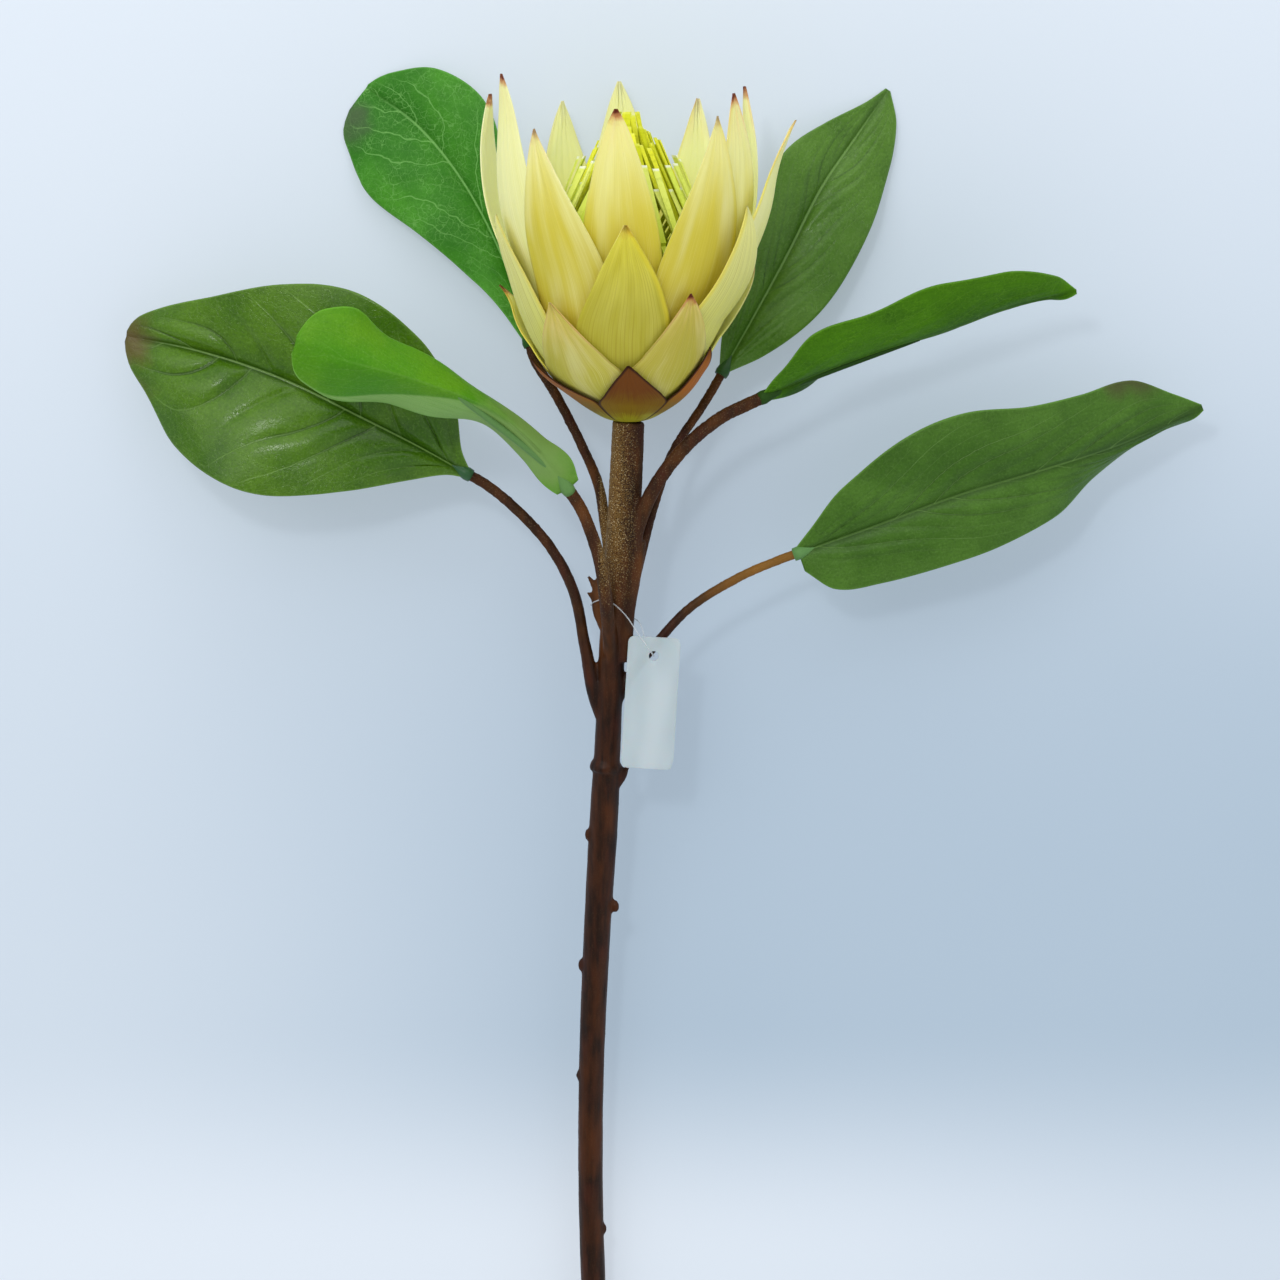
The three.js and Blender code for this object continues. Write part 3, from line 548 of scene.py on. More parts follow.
def petalFinish(name, look):
    finish = Finish(name, look, Roughness=look["roughness"], Specular_IOR_Level=look["gloss"],
                    Subsurface_Weight=look["glow"], Subsurface_Scale=look["glowDepth"] * mm,
                    Subsurface_Radius=look["glowTint"])
    across, along = finish.sheetPlace()
    fromTip, fromEdge, height, inner, each = finish.notes("fromTip", "fromEdge", "height", "inner", "petal")
    darkTip, blush, brightLeft, brightRight, lineLeft, lineRight, creamAndLight = finish.notes(*markNames)
    leftSide, rightSide = across.within(0.1, -0.4), across.within(-0.1, 0.4)
    # soft change of colour from the foot to the tip, and pale clouds that run lengthwise
    cloud = finish.streaks(across * 1.6 + each * 30.0, along * 2.2)
    risen = height + (cloud - 0.5) * look["drift"]
    finish.skin = finish.mix(risen.within(look["low"], look["mid"]), look["foot"], look["belly"])
    finish.paint(risen.within(look["mid"], look["high"]), "upper")
    # a pale coat by each petal's last mark: partly its own colour, partly painted light on petals in shade
    creamy = finish.mix(risen.within(*look["creamRise"]), look["creamLow"], look["creamHigh"])
    finish.paint(creamAndLight * look["creamShare"], creamy)
    finish.paint(cloud.within(0.45, 0.75) * look["paleShare"], "pale")
    # fine lines that run the length of the petal and close in on its tip
    wander = finish.streaks(across * 7.0 + each * 17.0, along * 1.6)
    lines = (across * look["lines"] + wander * 9.0).sine() * 0.5 + 0.5
    hair = finish.streaks(across * 52.0 + each * 40.0, along * 1.4, 3.0, 0.6)
    inset = fromEdge.within(0.3, 3.0) * wander.within(0.3, 0.65)
    finish.paint(lines.within(0.6, 1.0) * inset * look["lineShare"], "line")
    finish.paint(hair.within(0.5, 0.72) * look["hairShare"], "line")
    finish.paint(hair.within(0.48, 0.3) * look["hairShare"], "pale")
    # inner faces are greener and brighter, and paler by the same mark, partly painted light
    inside = finish.mix(hair.within(0.4, 0.65) * 0.35, look["inside"], look["insideLine"])
    inside = finish.mix(height.within(*look["insideRise"]), look["insideDeep"], inside)
    finish.paint(inner.within(0.3, 0.7), finish.mix(creamAndLight * 0.8, inside, look["creamHigh"]))
    # marks at the edges, then the blush and the dark tip
    bright = leftSide * brightLeft + rightSide * brightRight
    finish.paint(bright * fromEdge.within(2.2, 0.5) * look["edgeShare"], "edge")
    dark = leftSide * lineLeft + rightSide * lineRight
    finish.paint(dark * fromEdge.within(0.8, 0.25) * look["edgeLineShare"], "edgeLine")
    reach = fromTip + (finish.grain(finish.place, 420.0) - 0.5) * look["ragged"]
    blushed = reach.within(look["blushReach"], 2.0) * cloud.within(0.3, 0.7)
    finish.paint(blushed * blush * look["blushShare"], "blush")
    rim = reach.within(22.0, 4.0) * fromEdge.within(0.9, 0.2) * cloud.within(0.35, 0.6) * blush
    finish.paint(rim * look["rimShare"], "rim")
    finish.paint(reach.within(look["tipReach"], 1.6) * darkTip * 0.8, "tip")
    finish.paint(reach.within(look["tipDarkReach"], 0.8) * darkTip * 0.95, "tipDark")
    return finish.seal(look["roughness"] + (hair - 0.5) * 0.14, hair * 0.7 + lines * look["lineShare"], 0.3,
                       look["relief"])


def bractFinish():
    look = {"gloss": 0.12, "lineShare": 0.3, "edgeShare": 0.9, "edgeWidth": 1.0, "olive": (1.0, 4.5),
            "brownRise": (4.0, 13.0), "ragged": 5.0,
            **colours(brown=(108, 60, 12), orange=(166, 94, 14), low=(128, 100, 12), foot=(154, 146, 26),
                      edge=(52, 24, 8), inner=(78, 44, 16))}
    finish = Finish("bract skin", look, Specular_IOR_Level=look["gloss"])
    across, along = finish.sheetPlace()
    fromTip, fromEdge, height, inner, each, blush = finish.notes(
        "fromTip", "fromEdge", "height", "inner", "petal", "blush")
    lines = finish.streaks(across * 24.0 + each * 30.0, along * 2.0, 3.0, 0.6)
    cloud = finish.grain(finish.place, 160.0, 3.0)
    # brown above, olive below, and orange in the middle of the side ones
    rise = height + (lines - 0.5) * look["ragged"] + (cloud - 0.5) * look["ragged"]
    finish.skin = finish.mix(rise.within(*look["olive"]), look["foot"], look["low"])
    finish.paint(rise.within(*look["brownRise"]), finish.mix(blush, look["brown"], look["orange"]))
    finish.paint(fromTip.within(7.0, 2.0) * 0.5, "brown")
    finish.paint(lines.within(0.52, 0.75) * look["lineShare"], "edge")
    finish.paint(inner.within(0.3, 0.7), "inner")
    rim = (fromEdge + (cloud - 0.5) * 0.6).within(look["edgeWidth"], 0.35)
    finish.paint(rim * look["edgeShare"], "edge")
    return finish.seal(0.45 + cloud * 0.2, lines + cloud, 0.35, 0.2)


petalSkins = {"bracts": (bractFinish(), "bract"),
              "petals_lower": (petalFinish("lower petal skin", lowerLook), "petal"),
              "petals_middle": (petalFinish("middle petal skin", middleLook), "petal"),
              "petals_outer": (petalFinish("petal skin", petalLook), "petal"),
              "petals_inner": (petalFinish("inner petal skin", petalLook), "petal")}
for name, whorl in whorls.items():
    draw = random.Random(name)
    made = []
    for index in range(len(whorl["petals"])):
        shape, length = petalShape(whorl, index, draw)
        rows = max(int(length / petal["row"]), 20)
        made.append(addSheet("petal", petal["columns"], rows, shape, bloom["thickness"], -1, "inner"))
    material, slot = petalSkins[name]
    finishPiece(join(name + "_fine", made), name, material)
print("bloom done")


# Strips in the centre of the bloom

# A core's rows are [radius, height]. A ring is [count, half-step turn, radius and height at root,
# knee and tip, uneven length]
strips = {
    "stamens_outer": {
        "slot": "stamen_pale", "skin": "pale strips", "width": 2.1, "depth": 0.6,
        "core": [[9.4, 11.4], [11, 13.2], [12.8, 24], [14.8, 38], [12.6, 42], [9.4, 42]],
        "rings": [[26, 0, [[12.4, 33], [27, 52], [16.5, 76]], 0.12],
                  [22, 0.5, [[11.6, 37], [25.4, 58], [15.6, 83]], 0.12]],
        "cutShare": 0.9, "cutStart": 0.965,
        **colours(one=(242, 246, 136), other=(222, 236, 92), root=(186, 202, 56), shade=(188, 204, 62),
                  cut=(250, 252, 236))},
    "stamens_inner": {
        "slot": "stamen_olive", "skin": "olive strips", "width": 1.7, "depth": 0.5,
        "core": [[2.8, 7.4], [5, 7.4], [8.8, 10.4], [8.8, 43], [10.4, 52], [7, 62], [0.3, 65]],
        "rings": [[28, 0, [[8.4, 46], [21.4, 60], [9, 89]], 0.14],
                  [19, 0.5, [[7, 53], [15, 66], [5.6, 93]], 0.1],
                  [10, 0, [[3.6, 58], [7.6, 73], [3, 97]], 0.08]],
        "cutShare": 0.5, "cutStart": 0.97,
        **colours(one=(244, 242, 66), other=(208, 212, 26), root=(160, 166, 16), shade=(160, 166, 14),
                  cut=(236, 240, 110))},
}
# How far the tips swing from the sides to the front and the back, in radians; how far up the knee
# is; then how unevenly the strips stand, swing, twist and are cut
strip = {"lean": 0.3, "knee": 0.2, "stray": 0.2, "swing": 0.12, "twist": 0.6, "widths": (0.7, 1.15),
         "gloss": 0.12}
core = {"columns": 40, "rows": 24, "flutes": 20, "fluteDepth": 0.02, "tint": 0.3}


def stripPoints(plain, line, azimuth, swing, width, depth, length, twist):
    # one strip of a ring, bent at its knee and straight from there
    turns = (azimuth, azimuth, azimuth + swing)
    stops = np.array([[r * math.sin(turn), h, r * math.cos(turn)] for (r, h), turn in zip(line, turns)])
    knee = strip["knee"]
    across, out, share = plain[:, 0], plain[:, 1], plain[:, 2] + 0.5
    t = np.where(share > knee, knee + (share - knee) * length, share)
    centre = np.stack([np.interp(t, [0, knee, 1], column) for column in stops.T], axis=1)
    roll = twist * t
    x = across * np.cos(roll) * width - out * np.sin(roll) * depth
    y = across * np.sin(roll) * width + out * np.cos(roll) * depth
    turn = azimuth + swing * t
    level = np.zeros_like(t)
    sides = np.stack([np.cos(turn), level, -np.sin(turn)], axis=1)
    outward = np.stack([np.sin(turn), level, np.cos(turn)], axis=1)
    return centre + sides * x[:, None] + outward * y[:, None]


def stripModel():
    # a plain strip of five lengths, square in section, cut flat at its top
    deselect()
    bpy.ops.mesh.primitive_cube_add(size=1)
    piece = bpy.context.object
    for level in (-0.3, -0.1, 0.1, 0.3):
        edit(piece, (bpy.ops.mesh.bisect, {"plane_co": (0, 0, level), "plane_no": (0, 0, 1)}))
    return piece


def stripFinish(name, look):
    finish = Finish(name, look, Specular_IOR_Level=strip["gloss"])
    share, each = finish.notes("share", "strip")
    grain = finish.grain(finish.place, 900.0)
    finish.skin = finish.mix(each, look["one"], look["other"])
    finish.paint(share.within(0.8, 0.0), "root")
    finish.paint(grain.within(0.5, 0.7) * 0.3, "shade")
    finish.paint(share.within(look["cutStart"], 0.99) * look["cutShare"], "cut")
    return finish.seal(0.4 + grain * 0.25, grain, 0.25, 0.1)


def addCore(outline):
    # the solid heart that the strips grow out of
    line = Line([[0, h, 0, r] for r, h in outline], even=True)
    piece, across, along = addGrid("core", core["columns"], core["rows"])
    rows = line.at(along)
    angle = across * math.pi
    radius = rows[:, 3] * (1 + core["fluteDepth"] * np.cos(angle * core["flutes"]))
    points = np.stack([radius * np.sin(angle), rows[:, 1], radius * np.cos(angle)], axis=1)
    writePoints(piece, spots(inBloom(points)))
    edit(piece, merge(0.01), closeHoles, faceOutward)
    note(piece, "share", 0.0)
    note(piece, "strip", core["tint"])
    return piece


for name, group in strips.items():
    draw = random.Random(name)
    model = stripModel()
    plain = readPoints(model)
    made = [addCore(group["core"])]
    for count, turn, line, uneven in group["rings"]:
        step = 2 * math.pi / count
        for n in range(count):
            azimuth = (n + turn + draw.uniform(-strip["stray"], strip["stray"])) * step
            swing = -strip["lean"] * math.sin(azimuth * 2) + draw.uniform(-strip["swing"], strip["swing"])
            width = group["width"] * draw.uniform(*strip["widths"])
            length = 1 - draw.random() * uneven
            twist = draw.uniform(-strip["twist"], strip["twist"])
            copy = model.copy()
            copy.data = model.data.copy()
            bpy.context.scene.collection.objects.link(copy)
            points = stripPoints(plain, line, azimuth, swing, width, group["depth"], length, twist)
            writePoints(copy, spots(inBloom(points)))
            note(copy, "share", plain[:, 2] + 0.5)
            note(copy, "strip", draw.random())
            made.append(copy)
    bpy.data.objects.remove(model)
    piece = join(name + "_fine", made)
    edit(piece, faceOutward)
    finishPiece(piece, name, stripFinish(group["skin"], group), angle=40)
print("strips done")


# Leaves. Each rib runs from the twig's end to the leaf's tip. A row of a blade gives how far
# along the rib it is, then the left and the right half's width and lift in degrees.
leaves = {
    "leaf_back_left": {
        "rib": [[-27.3, 406.8, 16.4], [-35, 431.5, 11.2], [-47.9, 456.8, 7.2], [-62.8, 475.2, 3.6],
                [-79.5, 487.6, 0.2]],
        "blade": [[0, 1.4, 10, 1.4, 10], [0.1, 5, 8, 3.4, 25], [0.28, 12.6, 4, 8, 24],
                  [0.5, 21.4, 2, 14.4, 18], [0.7, 26.4, 1, 21.2, 10], [0.85, 24.4, 0, 18, 6],
                  [0.95, 18.6, 0, 9.4, 3], [0.985, 14.5, 0, 5, 2], [1, 9, 0, 1.2, 2]]},
    "leaf_left": {
        "rib": [[-46.9, 365.4, 25], [-61.6, 373.8, 27.2], [-80.5, 383.5, 28], [-105, 395.4, 26.5],
                [-131, 403.9, 21.5], [-155.4, 408.7, 14.4]],
        "blade": [[0, 1.4, 10, 1.6, 10], [0.05, 3.8, 14, 6.5, 12], [0.13, 11, 16, 19.5, 14],
                  [0.27, 24, 16, 32, 16], [0.45, 36.2, 14, 36.5, 16], [0.62, 37.6, 12, 29, 14],
                  [0.8, 29.5, 10, 17, 10], [0.92, 15.6, 6, 10.4, 6], [0.97, 9.6, 4, 7, 4],
                  [0.992, 5, 2, 4, 2], [1, 2, 0, 1.6, 0]]},
    "leaf_front_left": {
        "rib": [[-14.8, 361.6, 42.9], [-23, 373.2, 50.5], [-37.5, 386.6, 62], [-60.5, 396.6, 75],
                [-82, 402.9, 83], [-96.9, 407.4, 84]],
        "blade": [[0, 3.6, -10, 4.4, -10], [0.07, 7.6, -40, 6.4, -16], [0.16, 8.6, -52, 5.6, -50],
                  [0.3, 12.5, -60, 7.5, -72], [0.5, 17, -56, 12.5, -62], [0.7, 18, -52, 15, -50],
                  [0.85, 16.5, -42, 17, -22], [0.95, 11.8, -30, 13.2, -12], [0.985, 7.6, -22, 8.4, -10],
                  [1, 2.6, -20, 3, -10]]},
    "leaf_back_right": {
        "rib": [[34.3, 397.7, 21.1], [43.6, 414, 17], [54.5, 433.8, 11.6], [66, 456, 6.8], [77, 472, 3.2],
                [87.3, 486.9, 0.2]],
        "blade": [[0, 1.4, 10, 1.4, 10], [0.1, 6.5, 14, 8.8, 4], [0.27, 12.5, 18, 17.2, 4],
                  [0.45, 14.5, 20, 20, 4], [0.64, 16.8, 16, 19.6, 3], [0.8, 11, 12, 14.8, 2],
                  [0.93, 3.6, 6, 8.2, 1], [1, 0.8, 0, 0.8, 0]]},
    "leaf_upper_right": {
        "rib": [[46.9, 390.1, 38], [61, 396.4, 37.5], [82.6, 404.4, 37], [104.4, 411.2, 37],
                [124, 418.2, 36.5], [145.1, 423, 33]],
        "blade": [[0, 1.4, 40, 1.4, -40], [0.08, 9.4, 52, 5.2, -56], [0.2, 19.5, 52, 10, -86],
                  [0.4, 21.5, 52, 12.5, -93], [0.6, 22.6, 50, 12, -95], [0.78, 18.4, 50, 8.6, -93],
                  [0.92, 9.4, 44, 3.6, -84], [1, 0.6, 0, 0.6, 0]]},
    "leaf_lower_right": {
        "rib": [[58.2, 340.4, 28.6], [82.9, 349.4, 31], [108.9, 359.2, 33.2], [134.9, 366.9, 32],
                [160.6, 375.1, 27.6], [186.4, 386.2, 21.4]],
        "blade": [[0, 2, 10, 6, 0], [0.05, 6.8, 18, 14.6, -4], [0.15, 16.4, 22, 18, -6],
                  [0.3, 24.4, 22, 20, -8], [0.45, 26, 20, 20, -10], [0.6, 22, 18, 16.4, -18],
                  [0.72, 20, 16, 12, -54], [0.86, 17.8, 10, 7.6, -72], [0.95, 7.4, 4, 4, -60],
                  [1, 0.9, 0, 0.9, 0]]},
}
leaf = {"cell": 0.9, "thickness": 0.7, "arch": 0.12, "wave": 0.7, "waves": 9, "midGroove": 0.5,
        "wander": 0.16, "wanders": 19.0, "bend": 1.25, "veinWidth": 0.3,
        "sleeveRadius": 2.3, "sleeveBack": 1.6, "sleeveLength": 6, "sleeveSides": 16, "sleeveRows": 40,
        "ribRadius": (1.6, 0.9), "ribDrop": 0.8, "ribSink": 0.6,
        "cloudScale": 38.0, "patchScale": 130.0, "fleckScale": 1300.0,
        "netScale": 380.0, "meshScale": 900.0, "warpScale": 260.0, "warp": 0.0035}

# Veins to each side, how far they sweep to the tip, how high the leaf swells between them and how
# deep it sinks at them; then how much of each colour shows. Each of stains is
# [x, y, z, radius, share]. Most are real blots; on the upper right leaf they are painted shadow in its
# fold.
# crease and ribShade are shares of painted shade in the grooves at the side veins and beside the midrib
plainLeaf = {"veins": 9, "sweep": 0.5, "stray": 0.15, "reach": 0.9, "quilt": 0.3, "groove": 0.1,
             "rough": 0.5, "gloss": 0.15, "crease": 0.0, "ribShade": 0.0, "band": 0.0, "stains": []}
leafLooks = {
    "leaf_back_left": {
        **plainLeaf, "veins": 8, "sweep": 0.34, "stray": 0.9, "reach": 0.95, "quilt": 0.25, "ribShade": 0.1,
        "veinShare": 0.55, "ribShare": 0.75, "netShare": 0.34, "hairShare": 0.05,
        "stains": [[-85.5, 477, 3, 9.5, 0.7]],
        **colours(skin=(70, 142, 32), dark=(34, 92, 12), deep=(44, 112, 18), vein=(124, 182, 96),
                  under=(100, 150, 70), edge=(110, 170, 80), sleeve=(40, 84, 28), stain=(76, 82, 66))},
    "leaf_left": {
        **plainLeaf, "veins": 8, "sweep": 0.3, "stray": 0.1, "reach": 0.82, "quilt": 1.7, "groove": 0.7,
        "rough": 0.22, "gloss": 0.27, "crease": 0.95, "ribShade": 0.6,
        "veinShare": 0.22, "ribShare": 0.5, "netShare": 0.08, "hairShare": 0.25,
        "stains": [[-156, 407, 14, 13, 0.75], [-150, 392, 14, 9, 0.5]],
        **colours(skin=(78, 117, 12), dark=(26, 58, 4), deep=(54, 93, 6), vein=(132, 170, 84),
                  under=(96, 136, 66), edge=(112, 150, 66), sleeve=(46, 88, 50), stain=(96, 74, 40))},
    "leaf_front_left": {
        **plainLeaf, "stray": 0.3, "reach": 0.95, "quilt": 0.12, "groove": 0.05, "gloss": 0.14,
        "band": 0.85, "veinShare": 0.1, "ribShare": 0.12, "netShare": 0.05, "hairShare": 0.3,
        "stains": [[-27, 375, 53, 28, 0.85]],
        **colours(skin=(90, 144, 18), dark=(52, 106, 8), deep=(68, 132, 12), vein=(130, 178, 84),
                  under=(134, 174, 92), edge=(120, 186, 60), sleeve=(94, 134, 72), stain=(118, 150, 78))},
    "leaf_back_right": {
        **plainLeaf, "veins": 10, "quilt": 0.9, "groove": 0.35, "rough": 0.28, "gloss": 0.24,
        "crease": 0.6, "ribShade": 0.3,
        "veinShare": 0.12, "ribShare": 0.55, "netShare": 0.06, "hairShare": 0.4,
        **colours(skin=(84, 124, 40), dark=(38, 72, 16), deep=(72, 112, 30), vein=(132, 172, 92),
                  under=(96, 136, 70), edge=(104, 146, 66), sleeve=(44, 82, 36))},
    "leaf_upper_right": {
        **plainLeaf, "stray": 0.2, "gloss": 0.08, "crease": 0.3, "ribShade": 0.4,
        "veinShare": 0.25, "ribShare": 0.25, "netShare": 0.2, "hairShare": 0.45,
        # these two are painted shadow: dark green on the half of the blade that folds down near the base
        "stains": [[59, 392.5, 33, 12, 0.6], [72, 396, 33, 9, 0.45]],
        **colours(skin=(72, 124, 4), dark=(26, 60, 1), deep=(52, 98, 1), vein=(112, 166, 44),
                  under=(64, 104, 30), edge=(110, 160, 60), sleeve=(40, 70, 22), stain=(30, 58, 8))},
    "leaf_lower_right": {
        **plainLeaf, "sweep": 0.55, "quilt": 0.8, "groove": 0.35, "rough": 0.42, "gloss": 0.18,
        "crease": 0.8, "ribShade": 0.5,
        "veinShare": 0.45, "ribShare": 0.35, "netShare": 0.08, "hairShare": 0.5,
        "stains": [[157.8, 393.6, 30, 7, 0.6], [166, 396.4, 28, 9, 0.6]],
        **colours(skin=(74, 114, 34), dark=(34, 62, 10), deep=(56, 94, 20), vein=(112, 150, 74),
                  under=(88, 128, 58), edge=(108, 156, 62), sleeve=(92, 136, 74), stain=(70, 52, 40))},
}


def leafShape(name, line, draw):
    phase = draw.uniform(*anyPhase)
    look = leafLooks[name]

    def shape(across, along):
        centre, way = line.at(along), line.way(along)
        side = np.cross(way, [0, 0, 1])
        side[:, 2] = 0
        side = unit(side)
        lift = unit(np.cross(side, way))
        left, leftLift, right, rightLift = readRows(leaves[name]["blade"], along).T
        width = np.where(across < 0, left, right)
        angle = np.radians(np.where(across < 0, leftLift, rightLift))
        share = np.abs(across)
        arch = leaf["arch"] * width * (share - share ** 2) * 2
        wave = leaf["wave"] * share ** 3 * np.sin(along * leaf["waves"] * 2 + phase + (across < 0) * 2.1)
        wave = wave * smoothStep(along, 0, 0.15) * smoothStep(along, 1, 0.85) * np.minimum(width / 12, 1)
        fromRib = share * width
        vein = (along - look["sweep"] * share ** leaf["bend"]) * look["veins"] + 0.5 * (across < 0)
        vein = vein + leaf["wander"] * np.sin(along * leaf["wanders"])
        near = np.abs(vein - np.floor(vein) - 0.5)
        # the leaf swells between its veins, most beside the midrib
        body = smoothStep(fromRib, 0.5, 4) * smoothStep(share, look["reach"], 0.2)
        body = body * smoothStep(along, 0.02, 0.12) * smoothStep(along, 1, 0.8)
        swell = look["quilt"] * (0.55 + 0.45 * np.sin(np.floor(vein + 0.5) * 2.1 + phase))
        relief = body * (swell * (1 - (2 * near - 1) ** 2) - look["groove"] * np.exp(-(near / 0.07) ** 2))
        relief = relief - leaf["midGroove"] * np.exp(-(fromRib / 0.9) ** 2) * smoothStep(along, 1, 0.93)
        reach = side * (across * width * np.cos(angle))[:, None]
        rise = lift * (fromRib * np.sin(angle))[:, None]
        normal = lift * np.cos(angle)[:, None] - side * (np.sign(across) * np.sin(angle))[:, None]
        points = centre + reach + rise + normal * (arch + wave + relief)[:, None]
        return points, {"fromRib": fromRib, "fromEdge": (1 - share) * width}

    return shape


def leafSleeve(line):
    start, out = line.at(0)[:3], line.way(0.0)
    radius, back = leaf["sleeveRadius"], leaf["sleeveBack"]
    ribStart, ribEnd = leaf["ribRadius"]
    # a rim at the back of the sleeve, then the rib that runs on under the blade
    stops = []
    for along, wide in ((-back, radius * 0.9), (-back * 0.7, radius * 1.06), (0, radius * 0.96),
                        (leaf["sleeveLength"], ribStart), (line.length / 2, ribEnd)):
        spot = start + out * along if along < 0 else line.at(along / line.length)[:3]
        below = wide * leaf["ribDrop"] + leaf["ribSink"] if along > 0 else 0
        stops.append([*(spot - np.array([0, 0, below])), wide])
    return addTube("sleeve", Line(stops), leaf["sleeveSides"], leaf["sleeveRows"])


def leafFinish(name, look, length):
    finish = Finish(name.replace("_", " ") + " skin", look, Specular_IOR_Level=look["gloss"])
    across, along = finish.sheetPlace()
    share = abs(across)
    fromRib, fromEdge, under, blade = finish.notes("fromRib", "fromEdge", "under", "blade")
    cloud = finish.grain(finish.place, leaf["cloudScale"], 3.0)
    patch = finish.grain(finish.place, leaf["patchScale"])
    fleck = finish.grain(finish.place, leaf["fleckScale"], 2.0, 0.6)
    hair = finish.streaks(across * 26.0 - along * 9.0, along * 5.0, 3.0, 0.6)
    # side veins sweep towards the tip; each has its own strength
    vein = (along - look["sweep"] * share ** leaf["bend"]) * look["veins"] + 0.5 * (0.0 - across).above(0.0)
    vein = vein + leaf["wander"] * (along * leaf["wanders"]).sine() + (patch - 0.5) * look["stray"]
    near = abs(vein.fraction() - 0.5)
    strength = finish.add("ShaderNodeTexWhiteNoise", {"noise_dimensions": "1D"},
                          {"W": vein - vein.fraction()})
    fine = leaf["veinWidth"] * look["veins"] / length
    lateral = near.within(fine * 1.7, fine * 0.6) * fromEdge.within(0.5, 7.0) * strength.within(-0.3, 0.7)
    midrib = fromRib.within(0.6, 0.25) * along.within(1.0, 0.75)
    # the small veins between them are cells with wavering walls
    waver = finish.scaled(finish.grain(finish.place, leaf["warpScale"], out="Color"), *[leaf["warp"]] * 3)
    warped = finish.add("ShaderNodeVectorMath", {"operation": "ADD"}, {0: finish.place, 1: waver})
    net = finish.cells(warped, leaf["netScale"]).within(0.045, 0.012)
    mesh = finish.cells(warped, leaf["meshScale"]).within(0.08, 0.02)
    # mottled green, with a paler band on a leaf that folds over
    finish.skin = finish.mix(cloud.within(0.34, 0.66), look["deep"], look["skin"])
    finish.paint(patch.within(0.45, 0.75) * 0.2, "dark")
    finish.paint(fleck.within(0.5, 0.72) * 0.3 * blade, "dark")
    finish.paint(fleck.within(0.46, 0.28) * 0.16 * blade, "vein")
    band = (across + along.within(0.4, 0.92) * 0.9).within(-0.02, -0.1) * along.within(0.02, 0.12)
    finish.paint(band * look["band"], "under")
    finish.paint(hair.within(0.5, 0.7) * look["hairShare"] * blade, "deep")
    # painted shade in the creases beside the side veins and beside the midrib, then the veins, the cut edge
    # and the underside
    finish.paint((mesh * 0.4 + net) * look["netShare"] * patch.within(0.25, 0.6) * blade, "vein")
    crease = near.within(fine * 4.0, fine) * fromRib.within(0.5, 3.0) * share.within(look["reach"], 0.25)
    finish.paint(crease * look["crease"] * strength * blade, "dark")
    finish.paint(fromRib.within(2.2, 0.5) * look["ribShade"] * blade, "dark")
    finish.paint(lateral * look["veinShare"] * blade, "vein")
    finish.paint(midrib * look["ribShare"] * blade, "vein")
    finish.paint(fromEdge.within(0.7, 0.2) * 0.4 * blade, "edge")
    below = finish.mix(net * 0.4 + cloud * 0.2, look["under"], look["vein"])
    finish.paint(under.within(0.3, 0.7) * blade, below)
    # real blots, and on the upper right leaf painted shadow in its fold
    for x, y, z, radius, amount in look["stains"]:
        apart = finish.add("ShaderNodeVectorMath", {"operation": "DISTANCE"},
                           {0: finish.place, 1: tuple(spots([x, y, z]))}, "Value")
        reach = apart / mm + (patch - 0.5) * radius
        finish.paint(reach.within(radius * 1.1, radius * 0.2) * amount, "stain")
    finish.skin = finish.mix(blade, look["sleeve"], finish.skin)
    relief = patch * 0.5 + hair * 0.3 + fleck * 0.3 - net * 0.4 - mesh * 0.25 - lateral * 0.6
    return finish.seal(look["rough"] + (cloud - 0.5) * 0.14 + under * 0.15, relief, 0.4, 0.25)


for name, look in leafLooks.items():
    draw = random.Random(name)
    line = Line(leaves[name]["rib"])
    widest = max(row[1] + row[3] for row in leaves[name]["blade"])
    columns, rows = int(widest / leaf["cell"] / 2) * 2, int(line.length / leaf["cell"])
    blade = addSheet("blade", columns, rows, leafShape(name, line, draw), leaf["thickness"], 0, "under")
    note(blade, "blade", 1.0)
    sleeve = leafSleeve(line)
    note(sleeve, "blade", 0.0)
    piece = join(name + "_fine", [blade, sleeve])
    writePoints(piece, offFloor(readPoints(piece)))
    finishPiece(piece, name, leafFinish(name, look, line.length))
print("leaves done")


